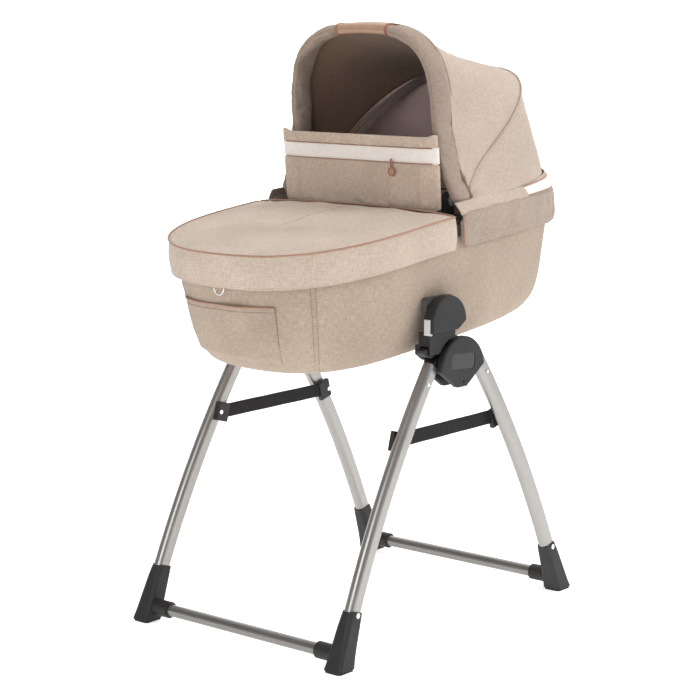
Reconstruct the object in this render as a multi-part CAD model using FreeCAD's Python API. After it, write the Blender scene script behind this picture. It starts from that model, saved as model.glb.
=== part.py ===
import FreeCAD, Part
import math
import os

# Bassinet on a folding stand.  Millimetres, +Z up, +X towards the head end,
# +Y to the left.  The floor is z = 0 and the object's middle is x = y = 0.
# Every piece is modelled with x measured from the stand's hubs and moved by
# HUB_X when it is written.  The bassinet is modelled level and tilted last.

Vec = FreeCAD.Vector
X_AXIS = Vec(1, 0, 0)
Y_AXIS = Vec(0, 1, 0)

# ---- driving dimensions: stand ------------------------------------------
HUB_X = -48.0             # the hubs stand nearer the foot end
LEG_FOOT_X = 316.0        # leg centre line at the floor
LEG_MID = (208.0, 240.0)  # a point on the bowed centre line, x and z
LEG_TOP = (64.0, 470.0)   # where the tube ends inside the hub
LEG_Y = 213.0             # leg centre plane at the hub
LEG_LEAN = 1.1            # degrees: the planes spread towards the floor
LEG_WIDE = 31.0
LEG_THICK = 20.0
TUBE_WALL = 1.8
PIVOT_X = 28.0            # the two leg pivots of a hub
PIVOT_Z = 474.0
PIN_R = 4.0
BAR_Z = 25.0
BAR_R = 10.5
BOOT_TOP = 96.0
SOLE = 4.0
STRAP_Z = 352.0
STRAP_HALF = 137.0
STRAP_TALL = 25.0
STRAP_THICK = 2.4
FIT = 0.05                # radial clearance of a running pin
GAP = 0.3                 # clearance between pieces that don't fit tightly

# layers of a hub, measured outwards from the middle of the object
HOUSING_IN = 193.0
HOUSING_OUT = 202.4
CAP_IN = 223.6
HUB_FACE = 235.0
HEAD_IN = 213.0

# ---- driving dimensions: bassinet ----------------------------------------
TILT = 4.5                # degrees, head end up
TILT_Z = 668.0            # height of the tilt line above the hubs
FOOT_TIP = -356.0
HEAD_TIP = 454.0
WIDEST_X = -100.0
HALF_WIDTH = 224.0
FOOT_POWER = 2.6          # roundness of the plan at either end
HEAD_POWER = 3.0
SKIRT_Z = 667.0           # lower edge of the skirt at mid length
SKIRT_TALL = 54.0
SKIRT_THICK = 6.0
SHEER = 21.0              # both tips lie this much lower than mid length
WALL_TOP = 705.0          # top edge of the tub's wall at mid length
TRAY_TOP = 545.0                # the shell's tray ends and its wall panels start
PANEL_GAP = 0.6
SIDE_SEAMS = (-300.0, -225.0, 120.0, 330.0, 370.0)
FOOT_SEAM = 75.0                # half width of the middle panel at the foot end
HEAD_SEAM = 70.0                # and at the head end
TUB_BOTTOM = 484.0
COVER_THICK = 1.6
SHELL_THICK = 3.2
LINER_THICK = 1.8
SKIN_GAP = 0.4
SPLIT_X = 4.0             # foot cover and head band meet here
# inset of the tub's outside from the skirt's outside, by height
TUB_LEVELS = [
    (TUB_BOTTOM, 98.0), (489.0, 76.0), (500.0, 55.0), (520.0, 41.0),
    (550.0, 32.0), (600.0, 23.0), (655.0, 14.0), (730.0, 11.0),
]

# ---- driving dimensions: hood --------------------------------------------
HOOD_X = 49.0
EYE_R = 12.0                    # the eyes of the hood bows
HOOD_Z = 738.0
SLEEVE_HALF = 23.0        # half the padded sleeve's depth along x
SLEEVE_THICK = 20.0
GRIP_HALF = 57.0
REAR_ANGLE = 31.5         # rear bow's angle above the level
CANOPY_THICK = 2.5
SEGMENTS = 9              # points along one side of an arch


# ---- helpers --------------------------------------------------------------
def box(x0, x1, y0, y1, z0, z1):
    return Part.makeBox(x1 - x0, y1 - y0, z1 - z0, Vec(x0, y0, z0))


def cylinder_y(radius, x, z, y0, y1):
    return Part.makeCylinder(radius, y1 - y0, Vec(x, y0, z), Y_AXIS)


def rounded(shape, radius, keep):
    """Fillet the edges of a shape for which keep(edge) is true."""
    edges = [edge for edge in shape.Edges if keep(edge)]
    return shape.makeFillet(radius, edges)


def along_y(edge):
    """True for a straight edge that runs along Y."""
    start = edge.Vertexes[0].Point
    end = edge.Vertexes[-1].Point
    run = end - start
    return abs(run.y) > 1e-3 and abs(run.x) < 1e-4 and abs(run.z) < 1e-4


def at_depth(y):
    """A test for edges that lie wholly in the plane at this y."""
    return lambda edge: all(abs(v.Point.y - y) < 1e-4 for v in edge.Vertexes)


def plate(points, y0, y1):
    """A plate with this outline in the XZ plane.  An outline's corner that
    is given as a pair of points is the middle and the end of an arc."""
    edges = []
    first = Vec(points[0][0], y0, points[0][1])
    here = first
    for point in points[1:] + [points[0]]:
        if isinstance(point[0], tuple):
            middle, end = (Vec(p[0], y0, p[1]) for p in point)
            edges.append(Part.Arc(here, middle, end).toShape())
        else:
            end = Vec(point[0], y0, point[1])
            edges.append(Part.LineSegment(here, end).toShape())
        here = end
    return Part.Face(Part.Wire(edges)).extrude(Vec(0, y1 - y0, 0))


def mirrored(shape):
    """The same piece for the right side."""
    return shape.mirror(Vec(0, 0, 0), Y_AXIS)


def turned(shape, degrees, x, z):
    """The shape turned about a line along Y."""
    out = shape.copy()
    out.rotate(Vec(x, 0, z), Y_AXIS, degrees)
    return out


def save(name, shape):
    """Write one sub-part in the row's frame."""
    out = shape.copy()
    out.translate(Vec(HUB_X, 0, 0))
    solids = out.Solids
    joined = solids[0] if len(solids) == 1 else Part.makeCompound(solids)
    joined.exportStep("parts/%s.step" % name)
    SAVED[name] = out


def save_pair(name, shape):
    save(name + "_left", shape)
    save(name + "_right", mirrored(shape))


def save_tilted(name, shape):
    save(name, turned(shape, -TILT, 0, TILT_Z))


def save_tilted_pair(name, shape):
    save_tilted(name + "_left", shape)
    save_tilted(name + "_right", mirrored(shape))


SAVED = {}


# ---- stand: legs ----------------------------------------------------------
def leg_arc():
    """Centre and radius, in x and z, of the head-end leg's centre line."""
    arc = Part.Arc(Vec(LEG_FOOT_X, 0, 0), Vec(LEG_MID[0], 0, LEG_MID[1]), Vec(LEG_TOP[0], 0, LEG_TOP[1]))
    circle = arc.toShape().Curve
    return circle.Center, circle.Radius


LEG_CENTRE, LEG_RADIUS = leg_arc()


def leg_x(z):
    """The leg's centre line at a height."""
    drop = z - LEG_CENTRE.z
    return LEG_CENTRE.x + math.sqrt(LEG_RADIUS ** 2 - drop ** 2)


def leg_slope(z):
    """The centre line's angle from the vertical, in degrees."""
    return math.degrees(math.asin((z - LEG_CENTRE.z) / LEG_RADIUS))


def oval_section(z, wide, thick):
    """An oval across the leg's centre line at a height, in the plane y = 0."""
    edges = []
    half = wide / 2
    side = thick / 2
    flat = half - side
    corners = [Vec(-flat, side, 0), Vec(flat, side, 0), Vec(flat, -side, 0), Vec(-flat, -side, 0)]
    edges.append(Part.LineSegment(corners[0], corners[1]).toShape())
    edges.append(Part.Arc(corners[1], Vec(half, 0, 0), corners[2]).toShape())
    edges.append(Part.LineSegment(corners[2], corners[3]).toShape())
    edges.append(Part.Arc(corners[3], Vec(-half, 0, 0), corners[0]).toShape())
    face = Part.Face(Part.Wire(edges))
    face.rotate(Vec(0, 0, 0), Y_AXIS, -leg_slope(z))
    face.translate(Vec(leg_x(z), 0, z))
    return face


def leg_sweep(z0, z1, wide, thick):
    """An oval bar along the leg's centre line between two heights."""
    start = oval_section(z0, wide, thick)
    angle = leg_slope(z1) - leg_slope(z0)
    centre = Vec(LEG_CENTRE.x, 0, LEG_CENTRE.z)
    return start.revolve(centre, Y_AXIS, -angle)


def in_leg_plane(shape):
    """Lean a piece that was made at y = 0 and put it on the left side."""
    out = shape.copy()
    out.translate(Vec(0, LEG_Y, 0))
    out.rotate(Vec(0, LEG_Y, PIVOT_Z), X_AXIS, LEG_LEAN)
    return out


def leg_tube():
    tube = leg_sweep(14, LEG_TOP[1], LEG_WIDE, LEG_THICK)
    hollow = leg_sweep(10, LEG_TOP[1] + 4, LEG_WIDE - 2 * TUBE_WALL, LEG_THICK - 2 * TUBE_WALL)
    return in_leg_plane(tube.cut(hollow))


def leg_knuckle():
    """The plug in the tube's top end and the eye that turns on the pin."""
    plug_low = LEG_TOP[1] - 45
    inner_wide = LEG_WIDE - 2 * TUBE_WALL - 2 * GAP
    inner_thick = LEG_THICK - 2 * TUBE_WALL - 2 * GAP
    plug = in_leg_plane(leg_sweep(plug_low, LEG_TOP[1] + 2, inner_wide, inner_thick))
    half = inner_thick / 2
    eye = cylinder_y(15, PIVOT_X, PIVOT_Z, LEG_Y - half, LEG_Y + half)
    arm = plate(
        [(PIVOT_X, PIVOT_Z - 14.5), (LEG_TOP[0] - 9, LEG_TOP[1] - 6), (LEG_TOP[0] + 4, LEG_TOP[1] + 6),
         (PIVOT_X, PIVOT_Z + 14.5)],
        LEG_Y - half, LEG_Y + half,
    )
    body = plug.fuse([eye, arm]).removeSplitter()
    return body.cut(cylinder_y(PIN_R + FIT, PIVOT_X, PIVOT_Z, LEG_Y - 20, LEG_Y + 20))


def rivet():
    """A domed rivet through the tube's outer wall, near the top."""
    z = LEG_TOP[1] - 28
    outer = LEG_THICK / 2
    shank = cylinder_y(1.6, leg_x(z), z, outer - TUBE_WALL - 1.5, outer)
    head = cylinder_y(3.0, leg_x(z), z, outer + 0.02, outer + 1.2)
    return in_leg_plane(shank.fuse(head.fuse(cylinder_y(1.6, leg_x(z), z, outer - 0.2, outer + 0.3))))


def boot_section(z, wide, thick, corner):
    """A rounded rectangle across the leg at a height."""
    points = [(-wide / 2, -thick / 2), (wide / 2, -thick / 2), (wide / 2, thick / 2), (-wide / 2, thick / 2)]
    wire = Part.makePolygon([Vec(x, y, 0) for x, y in points + points[:1]])
    face = Part.Face(wire)
    solid = face.extrude(Vec(0, 0, 10))
    solid = solid.makeFillet(corner, [e for e in solid.Edges if abs(e.Vertexes[0].Z - e.Vertexes[-1].Z) > 5])
    bottom = [f for f in solid.Faces if f.CenterOfMass.z < 1e-6][0]
    wire = bottom.OuterWire
    wire.translate(Vec(leg_x(z), 0, z))
    return wire


def boot():
    """The tapered moulded foot with the socket for the floor bar."""
    levels = [(SOLE - 1, 42, 38, 7), (30, 39, 33, 8), (70, 37, 28, 9), (BOOT_TOP, 35, 23.4, 10)]
    body = Part.makeLoft([boot_section(*level) for level in levels], True, False)
    slant = plate([(leg_x(BOOT_TOP) - 40, BOOT_TOP + 6), (leg_x(BOOT_TOP) - 40, BOOT_TOP - 16),
                   (leg_x(BOOT_TOP) + 40, BOOT_TOP + 10), (leg_x(BOOT_TOP) + 40, BOOT_TOP + 30)], -30, 30)
    body = in_leg_plane(body.cut(slant)).cut(box(0, 500, 0, 400, -10, SOLE))
    foot_y = floor_y()
    socket = Part.makeCylinder(BAR_R + 4, 34, Vec(leg_x(BAR_Z), foot_y - 50, BAR_Z), Y_AXIS)
    body = body.fuse(socket).removeSplitter()
    body = body.cut(in_leg_plane(leg_sweep(8, BOOT_TOP + 30, LEG_WIDE + 0.2, LEG_THICK + 0.2)))
    bore = Part.makeCylinder(BAR_R + 0.1, 60, Vec(leg_x(BAR_Z), foot_y - 70, BAR_Z), Y_AXIS)
    body = body.cut(bore)
    screw = boot_screw_core(2.1, 5.1)
    return largest(body.cut(screw))


def largest(shape):
    """The biggest solid of a shape."""
    return max(shape.Solids, key=lambda solid: solid.Volume)


def floor_y():
    """The leg plane's y at the height of the floor bar."""
    return LEG_Y + (PIVOT_Z - BAR_Z) * math.tan(math.radians(LEG_LEAN))


def boot_screw_core(shank_r, head_r):
    """The space of the boot's screw, which enters from the outside."""
    z = 88.0
    x = leg_x(z)
    shank = cylinder_y(shank_r, x, z, LEG_THICK / 2 - 4, 22)
    head = cylinder_y(head_r, x, z, LEG_THICK / 2 + 2.2, 22)
    return in_leg_plane(shank.fuse(head))


def boot_screw():
    z = 88.0
    x = leg_x(z)
    shank = cylinder_y(1.9, x, z, LEG_THICK / 2 + 0.3, LEG_THICK / 2 + 3)
    head = cylinder_y(4.6, x, z, LEG_THICK / 2 + 2.5, LEG_THICK / 2 + 4.4)
    slot = box(x - 3, x + 3, LEG_THICK / 2 + 3.6, LEG_THICK / 2 + 6, z - 0.6, z + 0.6)
    return in_leg_plane(shank.fuse(head).cut(slot))


def sole():
    """The rubber pad under a boot, with its grooves."""
    x = leg_x(SOLE)
    y = LEG_Y + PIVOT_Z * math.tan(math.radians(LEG_LEAN))
    pad = box(x - 19, x + 19, y - 17, y + 17, 0, SOLE - 0.05)
    pad = rounded(pad, 6, lambda e: abs(e.Vertexes[0].Z - e.Vertexes[-1].Z) > 2)
    for step in (-8, 0, 8):
        pad = pad.cut(box(x + step - 1, x + step + 1, y - 30, y + 30, -1, 1))
    return pad


def floor_bar():
    end = floor_y() - 11
    tube = Part.makeCylinder(BAR_R, 2 * end, Vec(leg_x(BAR_Z), -end, BAR_Z), Y_AXIS)
    hollow = Part.makeCylinder(BAR_R - TUBE_WALL, 2 * end + 4, Vec(leg_x(BAR_Z), -end - 2, BAR_Z), Y_AXIS)
    return tube.cut(hollow)


def strap_y():
    """The webbing's inner face."""
    return LEG_Y + (PIVOT_Z - STRAP_Z) * math.tan(math.radians(LEG_LEAN)) - LEG_THICK / 2 - 7


def strap_anchor():
    """The plastic block that holds an end of the webbing on the leg."""
    inner = strap_y()
    x = leg_x(STRAP_Z)
    block = box(x - 17, x + 11, inner - 3, inner + 6.4, STRAP_Z - 17, STRAP_Z + 17)
    block = turned(block, -0.5 * leg_slope(STRAP_Z), x, STRAP_Z)
    block = rounded(block, 2.2, at_depth(inner - 3))
    slot = box(x - 40, x + 2, inner - 0.4, inner + STRAP_THICK + 0.4, STRAP_Z - 13, STRAP_Z + 13)
    return block.cut(slot)


def strap_screw():
    x = leg_x(STRAP_Z) + 5
    inner = strap_y() - 3
    return cylinder_y(4.0, x, STRAP_Z, inner - 1.2, inner - 0.05)


def strap():
    """The webbing that limits how far the legs open."""
    inner = strap_y()
    half = STRAP_TALL / 2
    return box(-STRAP_HALF, STRAP_HALF, inner, inner + STRAP_THICK, STRAP_Z - half, STRAP_Z + half)


def both_sides(shape):
    """One node that holds the left and the right copy."""
    return Part.makeCompound([shape, mirrored(shape)])


def at_foot_end(shape):
    """The same piece on the foot-end frame."""
    return shape.mirror(Vec(0, 0, 0), X_AXIS)


def make_frames():
    tube = leg_tube()
    knuckle = leg_knuckle()
    shoe = boot()
    small = {
        "fasteners": Part.makeCompound([rivet(), boot_screw(), strap_screw()]),
        "boot_soles": sole(),
        "strap_anchors": strap_anchor(),
        "leg_knuckles": knuckle,
    }
    for end, move in (("head_end", lambda s: s), ("foot_end", at_foot_end)):
        save_pair(end + "_leg", move(tube))
        save_pair(end + "_boot", move(shoe))
        save(end + "_floor_bar", move(floor_bar()))
        for name, shape in small.items():
            save(end + "_" + name, both_sides(move(shape)))
    save_pair("strap", strap())


# ---- stand: hubs ----------------------------------------------------------
DOME_TOP = 516.0
DOME_SIDE = (62.0, 462.0)
DOME_TIP = (12.0, 428.0)
SPACER_Z = (503.0, 441.0)
CAP_SCREW_Z = 438.0
PLATE_Z = 473.0


def hub_outline(grow):
    """The hub's outline: a dome above a blunt V."""
    side_x = DOME_SIDE[0] + grow
    return [
        (-side_x, DOME_SIDE[1]),
        ((0, DOME_TOP + grow), (side_x, DOME_SIDE[1])),
        (DOME_TIP[0], DOME_TIP[1] - grow),
        (-DOME_TIP[0], DOME_TIP[1] - grow),
    ]


def pivot_holes(radius):
    holes = [cylinder_y(radius, x, PIVOT_Z, HOUSING_IN - 5, HUB_FACE + 5) for x in (-PIVOT_X, PIVOT_X)]
    return Part.makeCompound(holes)


def hub_housing():
    """The inner plate of a hub with the spacers that the cap is screwed to."""
    body = plate(hub_outline(0), HOUSING_IN, HOUSING_OUT)
    body = rounded(body, 6, along_y)
    body = rounded(body, 2.5, at_depth(HOUSING_IN))
    spacers = [cylinder_y(6, 0, z, HOUSING_OUT - 1, CAP_IN - GAP) for z in SPACER_Z]
    body = body.fuse(spacers).removeSplitter()
    for z in SPACER_Z:
        body = body.cut(cylinder_y(2.0, 0, z, HOUSING_OUT + 2, CAP_IN + 1))
    return body.cut(pivot_holes(PIN_R + 0.02))


def hub_cap():
    """The domed outer cover with its recess for the blank name plate."""
    body = plate(hub_outline(0), CAP_IN, HUB_FACE)
    body = rounded(body, 6, along_y)
    body = rounded(body, 4.0, at_depth(HUB_FACE))
    body = body.cut(plate_space(0.0))
    body = body.cut(cylinder_y(2.6, 0, CAP_SCREW_Z, HUB_FACE - 4, HUB_FACE + 1))
    for z in SPACER_Z:
        body = body.cut(cylinder_y(2.0, 0, z, CAP_IN - 1, CAP_IN + 6))
    for x in (-PIVOT_X, PIVOT_X):
        body = body.cut(cylinder_y(PIN_R + 0.02, x, PIVOT_Z, CAP_IN - 1, CAP_IN + 5))
    return body


def plate_space(shrink):
    """The rounded rectangle of the name plate on the cap's face."""
    half_x = 33.0 - shrink
    half_z = 14.0 - shrink
    z = PLATE_Z
    body = box(-half_x, half_x, HUB_FACE - 2.2, HUB_FACE + 3, z - half_z, z + half_z)
    body = rounded(body, 8 - shrink, along_y)
    return turned(body, 4, 0, z)


def name_plate():
    body = plate_space(GAP)
    return body.cut(box(-80, 80, HUB_FACE - 0.9, HUB_FACE + 9, 400, 560)).cut(
        box(-80, 80, HUB_FACE - 9, HUB_FACE - 2.15, 400, 560))


def cap_screw():
    head = cylinder_y(2.4, 0, CAP_SCREW_Z, HUB_FACE - 3.95, HUB_FACE - 2.4)
    return head.cut(box(-1.8, 1.8, HUB_FACE - 2.9, HUB_FACE, CAP_SCREW_Z - 0.4, CAP_SCREW_Z + 0.4))


def pivot_pins():
    pins = [cylinder_y(PIN_R, x, PIVOT_Z, HOUSING_IN + 1, CAP_IN + 4.8) for x in (-PIVOT_X, PIVOT_X)]
    return Part.makeCompound(pins)


HEAD_LEFT = -86.0
HEAD_RIGHT = 8.0
HEAD_LOW = 530.0
HEAD_TOP = 590.0
NECK_RIGHT = -14.0
BUTTON_Z = (526.0, 553.0)


def head_outline(shrink):
    """The D-shaped head: an arch with its lower right corner cut off."""
    left = HEAD_LEFT + shrink
    right = HEAD_RIGHT - shrink
    middle = (left + right) / 2
    shoulder = 550.0
    return [
        (left, HEAD_LOW + shrink),
        (left, shoulder),
        ((middle - 4, HEAD_TOP - shrink), (right, shoulder)),
        (right, 543.0),
        (NECK_RIGHT - shrink, HEAD_LOW + shrink),
    ]


NECK_LEFT = HEAD_LEFT + 2
NECK_LOW = 492.0
# the post's lower edge follows the hub's dome
NECK_FOOT = [(NECK_RIGHT, 518.2), (-30, 514.5), (-45, 506), (-58, NECK_LOW)]


def upright():
    """The post that rises from a hub, with the core of its D-shaped head."""
    post = [(NECK_LEFT, NECK_LOW), (NECK_LEFT, HEAD_LOW + 3), (NECK_RIGHT, HEAD_LOW + 3)] + NECK_FOOT[:-1]
    inner = [(NECK_LEFT, NECK_LOW), (NECK_LEFT, HEAD_LOW), (NECK_RIGHT, HEAD_LOW)] + NECK_FOOT[:-1]
    close = [NECK_FOOT[-1]]
    neck = plate(post + close, HEAD_IN, HEAD_IN + 14)
    root = plate(inner + close, HOUSING_OUT + 0.5, HEAD_IN + 1)
    core = plate(head_outline(1.2), HEAD_IN, HEAD_IN + 16)
    core = rounded(core, 3, at_depth(HEAD_IN))
    hook = plate([(NECK_LEFT, NECK_LOW), (NECK_LEFT, 508), (-60, 508), (-60, 480), (-66, 480)],
                 HOUSING_IN + 2, HOUSING_OUT + 0.6)
    body = core.fuse([neck, root, hook]).removeSplitter()
    low, high = BUTTON_Z
    pocket = box(HEAD_LEFT - 5, HEAD_LEFT + 12, HEAD_IN + 2, HEAD_IN + 16.5, low - GAP, high + GAP)
    spring_bore = Part.makeCylinder(4.5, 14, Vec(HEAD_LEFT + 11, BUTTON_Y, (low + high) / 2), X_AXIS)
    lever_pocket = box(HEAD_LEFT - 5, LEVER_X + 5, HEAD_IN - 6.5, HEAD_IN + 10.5, LEVER_Z - 16, LEVER_Z + 6.5)
    pin_hole = cylinder_y(LEVER_PIN_R + 0.02, LEVER_X, LEVER_Z, HEAD_IN - 9, HEAD_IN + 13)
    body = body.cut(pocket).cut(spring_bore).cut(lever_pocket).cut(pin_hole)
    return largest(body.cut(box(TENON[0], TENON[1], HEAD_IN - 1, HEAD_IN + 3.02, TENON[2], TENON[3])))


# left, right, low and high edges of the steel tongue on the head's inner face
TENON = (-66.0, -14.0, 540.0, 580.0)


def tenon():
    """The tongue that carries the bassinet."""
    body = box(TENON[0], TENON[1], HEAD_IN - 4, HEAD_IN + 3, TENON[2], TENON[3])
    return rounded(body, 1.0, at_depth(HEAD_IN - 4))


def head_cover():
    body = plate(head_outline(0), HEAD_IN + 16.2, HUB_FACE)
    return rounded(body, 3.0, at_depth(HUB_FACE))


BUTTON_Y = HEAD_IN + 8.9


def release_button():
    """The push button in the head's foot-side edge."""
    low, high = BUTTON_Z
    body = box(HEAD_LEFT - 0.6, HEAD_LEFT + 6, HEAD_IN + 2.3, HEAD_IN + 15.9, low, high)
    body = rounded(body, 1.5, lambda e: all(v.Point.x < HEAD_LEFT for v in e.Vertexes))
    boss = Part.makeCylinder(2.2, 6, Vec(HEAD_LEFT + 5, BUTTON_Y, (low + high) / 2), X_AXIS)
    return body.fuse(boss).removeSplitter()


def button_spring():
    """A coil spring behind the button, as a plain sleeve."""
    start = Vec(HEAD_LEFT + 6.1, BUTTON_Y, sum(BUTTON_Z) / 2)
    outer = Part.makeCylinder(3.9, 18.6, start, X_AXIS)
    return outer.cut(Part.makeCylinder(2.5, 30, start - X_AXIS, X_AXIS))


LEVER_X = -73.0
LEVER_Z = 500.0
LEVER_PIN_R = 1.5


def fold_lever():
    """The small lever at the post's foot that frees the legs to fold."""
    body = plate([(LEVER_X - 4.5, LEVER_Z + 4.2), (LEVER_X + 4.2, LEVER_Z + 4.2), (LEVER_X + 3.5, LEVER_Z - 13),
                  (LEVER_X - 5, LEVER_Z - 13), (LEVER_X - 22, LEVER_Z - 4), (LEVER_X - 23, LEVER_Z + 2)],
                 HEAD_IN - 6, HEAD_IN + 10)
    body = rounded(body, 1.2, along_y)
    body = body.cut(cylinder_y(LEVER_PIN_R + 1.3, LEVER_X, LEVER_Z, HEAD_IN + 3.6, HEAD_IN + 20))
    return body.cut(cylinder_y(LEVER_PIN_R + FIT, LEVER_X, LEVER_Z, HEAD_IN - 20, HEAD_IN + 20))


def lever_pin():
    return cylinder_y(LEVER_PIN_R, LEVER_X, LEVER_Z, HEAD_IN - 8.8, HEAD_IN + 12.8)


def lever_spring():
    """The torsion spring round the lever's pin, as a plain sleeve."""
    outer = cylinder_y(LEVER_PIN_R + 1.0, LEVER_X, LEVER_Z, HEAD_IN + 4, HEAD_IN + 10)
    return outer.cut(cylinder_y(LEVER_PIN_R + GAP, LEVER_X, LEVER_Z, HEAD_IN, HEAD_IN + 12))


def make_hubs():
    post = upright()
    above = [(x, z - GAP) for x, z in NECK_FOOT]
    above += [(-110, NECK_LOW - GAP), (-110, 560), (NECK_RIGHT, 560)]
    seat = plate(above, HOUSING_OUT - 0.01, CAP_IN)
    housing = hub_housing().cut(seat)
    housing = largest(housing.cut(box(-90, -59.7, HOUSING_IN - 1, HOUSING_OUT + 1, 479, 530)))
    save_pair("hub_housing", housing)
    save_pair("hub_cap", hub_cap())
    save("name_plates", both_sides(name_plate()))
    save_pair("upright", post)
    save_pair("head_cover", head_cover())
    save("head_tenons", both_sides(tenon()))
    save_pair("release_button", release_button())
    save_pair("fold_lever", fold_lever())
    save("button_springs", both_sides(button_spring()))
    save("lever_springs", both_sides(lever_spring()))
    save("leg_pivot_pins", both_sides(pivot_pins()))
    save("lever_pins", both_sides(lever_pin()))
    save("hub_screws", both_sides(cap_screw()))


# ---- bassinet: plan and slabs ---------------------------------------------
def plan_points(inset, count=40):
    """Points round the plan, a super-ellipse that is fuller at the foot."""
    points = []
    for step in range(count):
        angle = 2 * math.pi * step / count
        cosine = math.cos(angle)
        sine = math.sin(angle)
        reach = HEAD_TIP - WIDEST_X if cosine > 0 else WIDEST_X - FOOT_TIP
        power = HEAD_POWER if cosine > 0 else FOOT_POWER
        x = math.copysign(abs(cosine) ** (2 / power), cosine) * (reach - inset)
        y = math.copysign(abs(sine) ** (2 / power), sine) * (HALF_WIDTH - inset)
        points.append((WIDEST_X + x, y))
    return points


def plan_wire(inset, z):
    curve = Part.BSplineCurve()
    curve.interpolate([Vec(x, y, z) for x, y in plan_points(inset)], PeriodicFlag=True)
    return Part.Wire(curve.toShape())


def plan_prism(inset, z0=480.0, z1=760.0):
    """The plan, drawn in by an inset, as a tall block."""
    return Part.Face(plan_wire(inset, z0)).extrude(Vec(0, 0, z1 - z0))


def slab(low, high):
    """Everything between two heights at mid length; both faces droop
    towards the tips by the sheer."""
    middle = (FOOT_TIP + HEAD_TIP) / 2
    half = (HEAD_TIP - FOOT_TIP) / 2
    reach = 1.2
    droop = SHEER * reach ** 2
    left = middle - half * reach
    right = middle + half * reach
    edges = [
        Part.Arc(Vec(left, -300, low - droop), Vec(middle, -300, low), Vec(right, -300, low - droop)).toShape(),
        Part.LineSegment(Vec(right, -300, low - droop), Vec(right, -300, high - droop)).toShape(),
        Part.Arc(Vec(right, -300, high - droop), Vec(middle, -300, high), Vec(left, -300, high - droop)).toShape(),
        Part.LineSegment(Vec(left, -300, high - droop), Vec(left, -300, low - droop)).toShape(),
    ]
    return Part.Face(Part.Wire(edges)).extrude(Vec(0, 600, 0))


def tub_block(skin):
    """The tub's outside, drawn in by a skin's thickness on every side."""
    wires = [plan_wire(inset + skin, z + skin * (z < 510)) for z, inset in TUB_LEVELS]
    return Part.makeLoft(wires, True, True)


def tub_skin(start, thick):
    """A skin of the tub, from one depth under its outside to another."""
    wall = slab(400, WALL_TOP)
    return largest(tub_block(start).common(wall).cut(tub_block(start + thick)))


def panel_seams():
    """Thin gaps that part the shell into two tray halves and wall panels."""
    half = PANEL_GAP / 2
    seams = [
        box(-500, 600, -300, 300, TRAY_TOP - half, TRAY_TOP + half),
        box(-500, 600, -half, half, 400, TRAY_TOP),
    ]
    for x in SIDE_SEAMS:
        seams.append(box(x - half, x + half, -300, 300, TRAY_TOP, 800))
    for sign in (1, -1):
        foot = sign * FOOT_SEAM
        head = sign * HEAD_SEAM
        seams.append(box(-500, SIDE_SEAMS[0], foot - half, foot + half, TRAY_TOP, 800))
        seams.append(box(SIDE_SEAMS[-1], 600, head - half, head + half, TRAY_TOP, 800))
    return seams


def tub_shell():
    """The stiffening panels sewn in between the cover and the liner."""
    return tub_skin(COVER_THICK + SKIN_GAP, SHELL_THICK).cut(panel_seams())


def rim_ring(outer, inner, low, high):
    ring = plan_prism(outer).cut(plan_prism(inner))
    return ring.common(slab(low, high))


def foot_cover():
    """The cover over the foot half: a cap with a skirt round it."""
    top = SKIRT_Z + SKIRT_TALL
    body = plan_prism(0).common(slab(SKIRT_Z, top))
    body = body.cut(plan_prism(SKIRT_THICK).common(slab(SKIRT_Z - 40, top - 8)))
    return body.common(box(-500, SPLIT_X - 6, -300, 300, 500, 800))


def head_band():
    """The padded band round the head half of the rim."""
    ring = rim_ring(0, SKIRT_THICK, SKIRT_Z, SKIRT_Z + SKIRT_TALL)
    return ring.common(box(SPLIT_X, 600, -300, 300, 500, 800))


def mattress_block(levels):
    return Part.makeLoft([plan_wire(inset, z) for z, inset in levels], True, True)


def mattress():
    return mattress_block([(497.5, 92.0), (503, 76.0), (514, 63.0), (527, 57.0), (540, 58.0), (545, 66.0)])


def mattress_board():
    return mattress_block([(493.0, 104.0), (496.5, 97.0)])


def side_bracket():
    """The socket on the tub's side that drops over the head's tongue."""
    body = box(TENON[0] - 10, TENON[1] + 10, HEAD_IN - 10, HEAD_IN - GAP, TENON[2] - 7, TENON[3] + 7)
    body = rounded(body, 4, along_y)
    channel = box(TENON[0] - 0.4, TENON[1] + 0.4, HEAD_IN - 4 - GAP, HEAD_IN + 1, 500, TENON[3] + 0.4)
    return body.cut(channel)


def make_bassinet():
    cover = tub_skin(0, COVER_THICK)
    liner_start = COVER_THICK + SHELL_THICK + 2 * SKIN_GAP
    save_tilted("tub_cover", cover)
    save_tilted("tub_shell", tub_shell())
    save_tilted("liner", tub_skin(liner_start, LINER_THICK))
    save_tilted("mattress_board", mattress_board())
    save_tilted("mattress", mattress())
    save_tilted("rim_frame", rim_ring(6.6, 10.4, SKIRT_Z + 18, SKIRT_Z + 38))
    save_tilted("head_band", head_band())
    save_tilted("foot_cover", foot_cover())
    save("side_bracket_left", side_bracket())
    save("side_bracket_right", mirrored(side_bracket()))


# ---- bassinet: wind flap ----------------------------------------------------
FLAP_X = 8.0
FLAP_HALF = 176.0
FLAP_FLAT = 135.0
FLAP_BACK = 8.0
FLAP_LOW = 724.5
FLAP_TALL = 126.0
FLAP_THICK = 8.0


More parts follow.
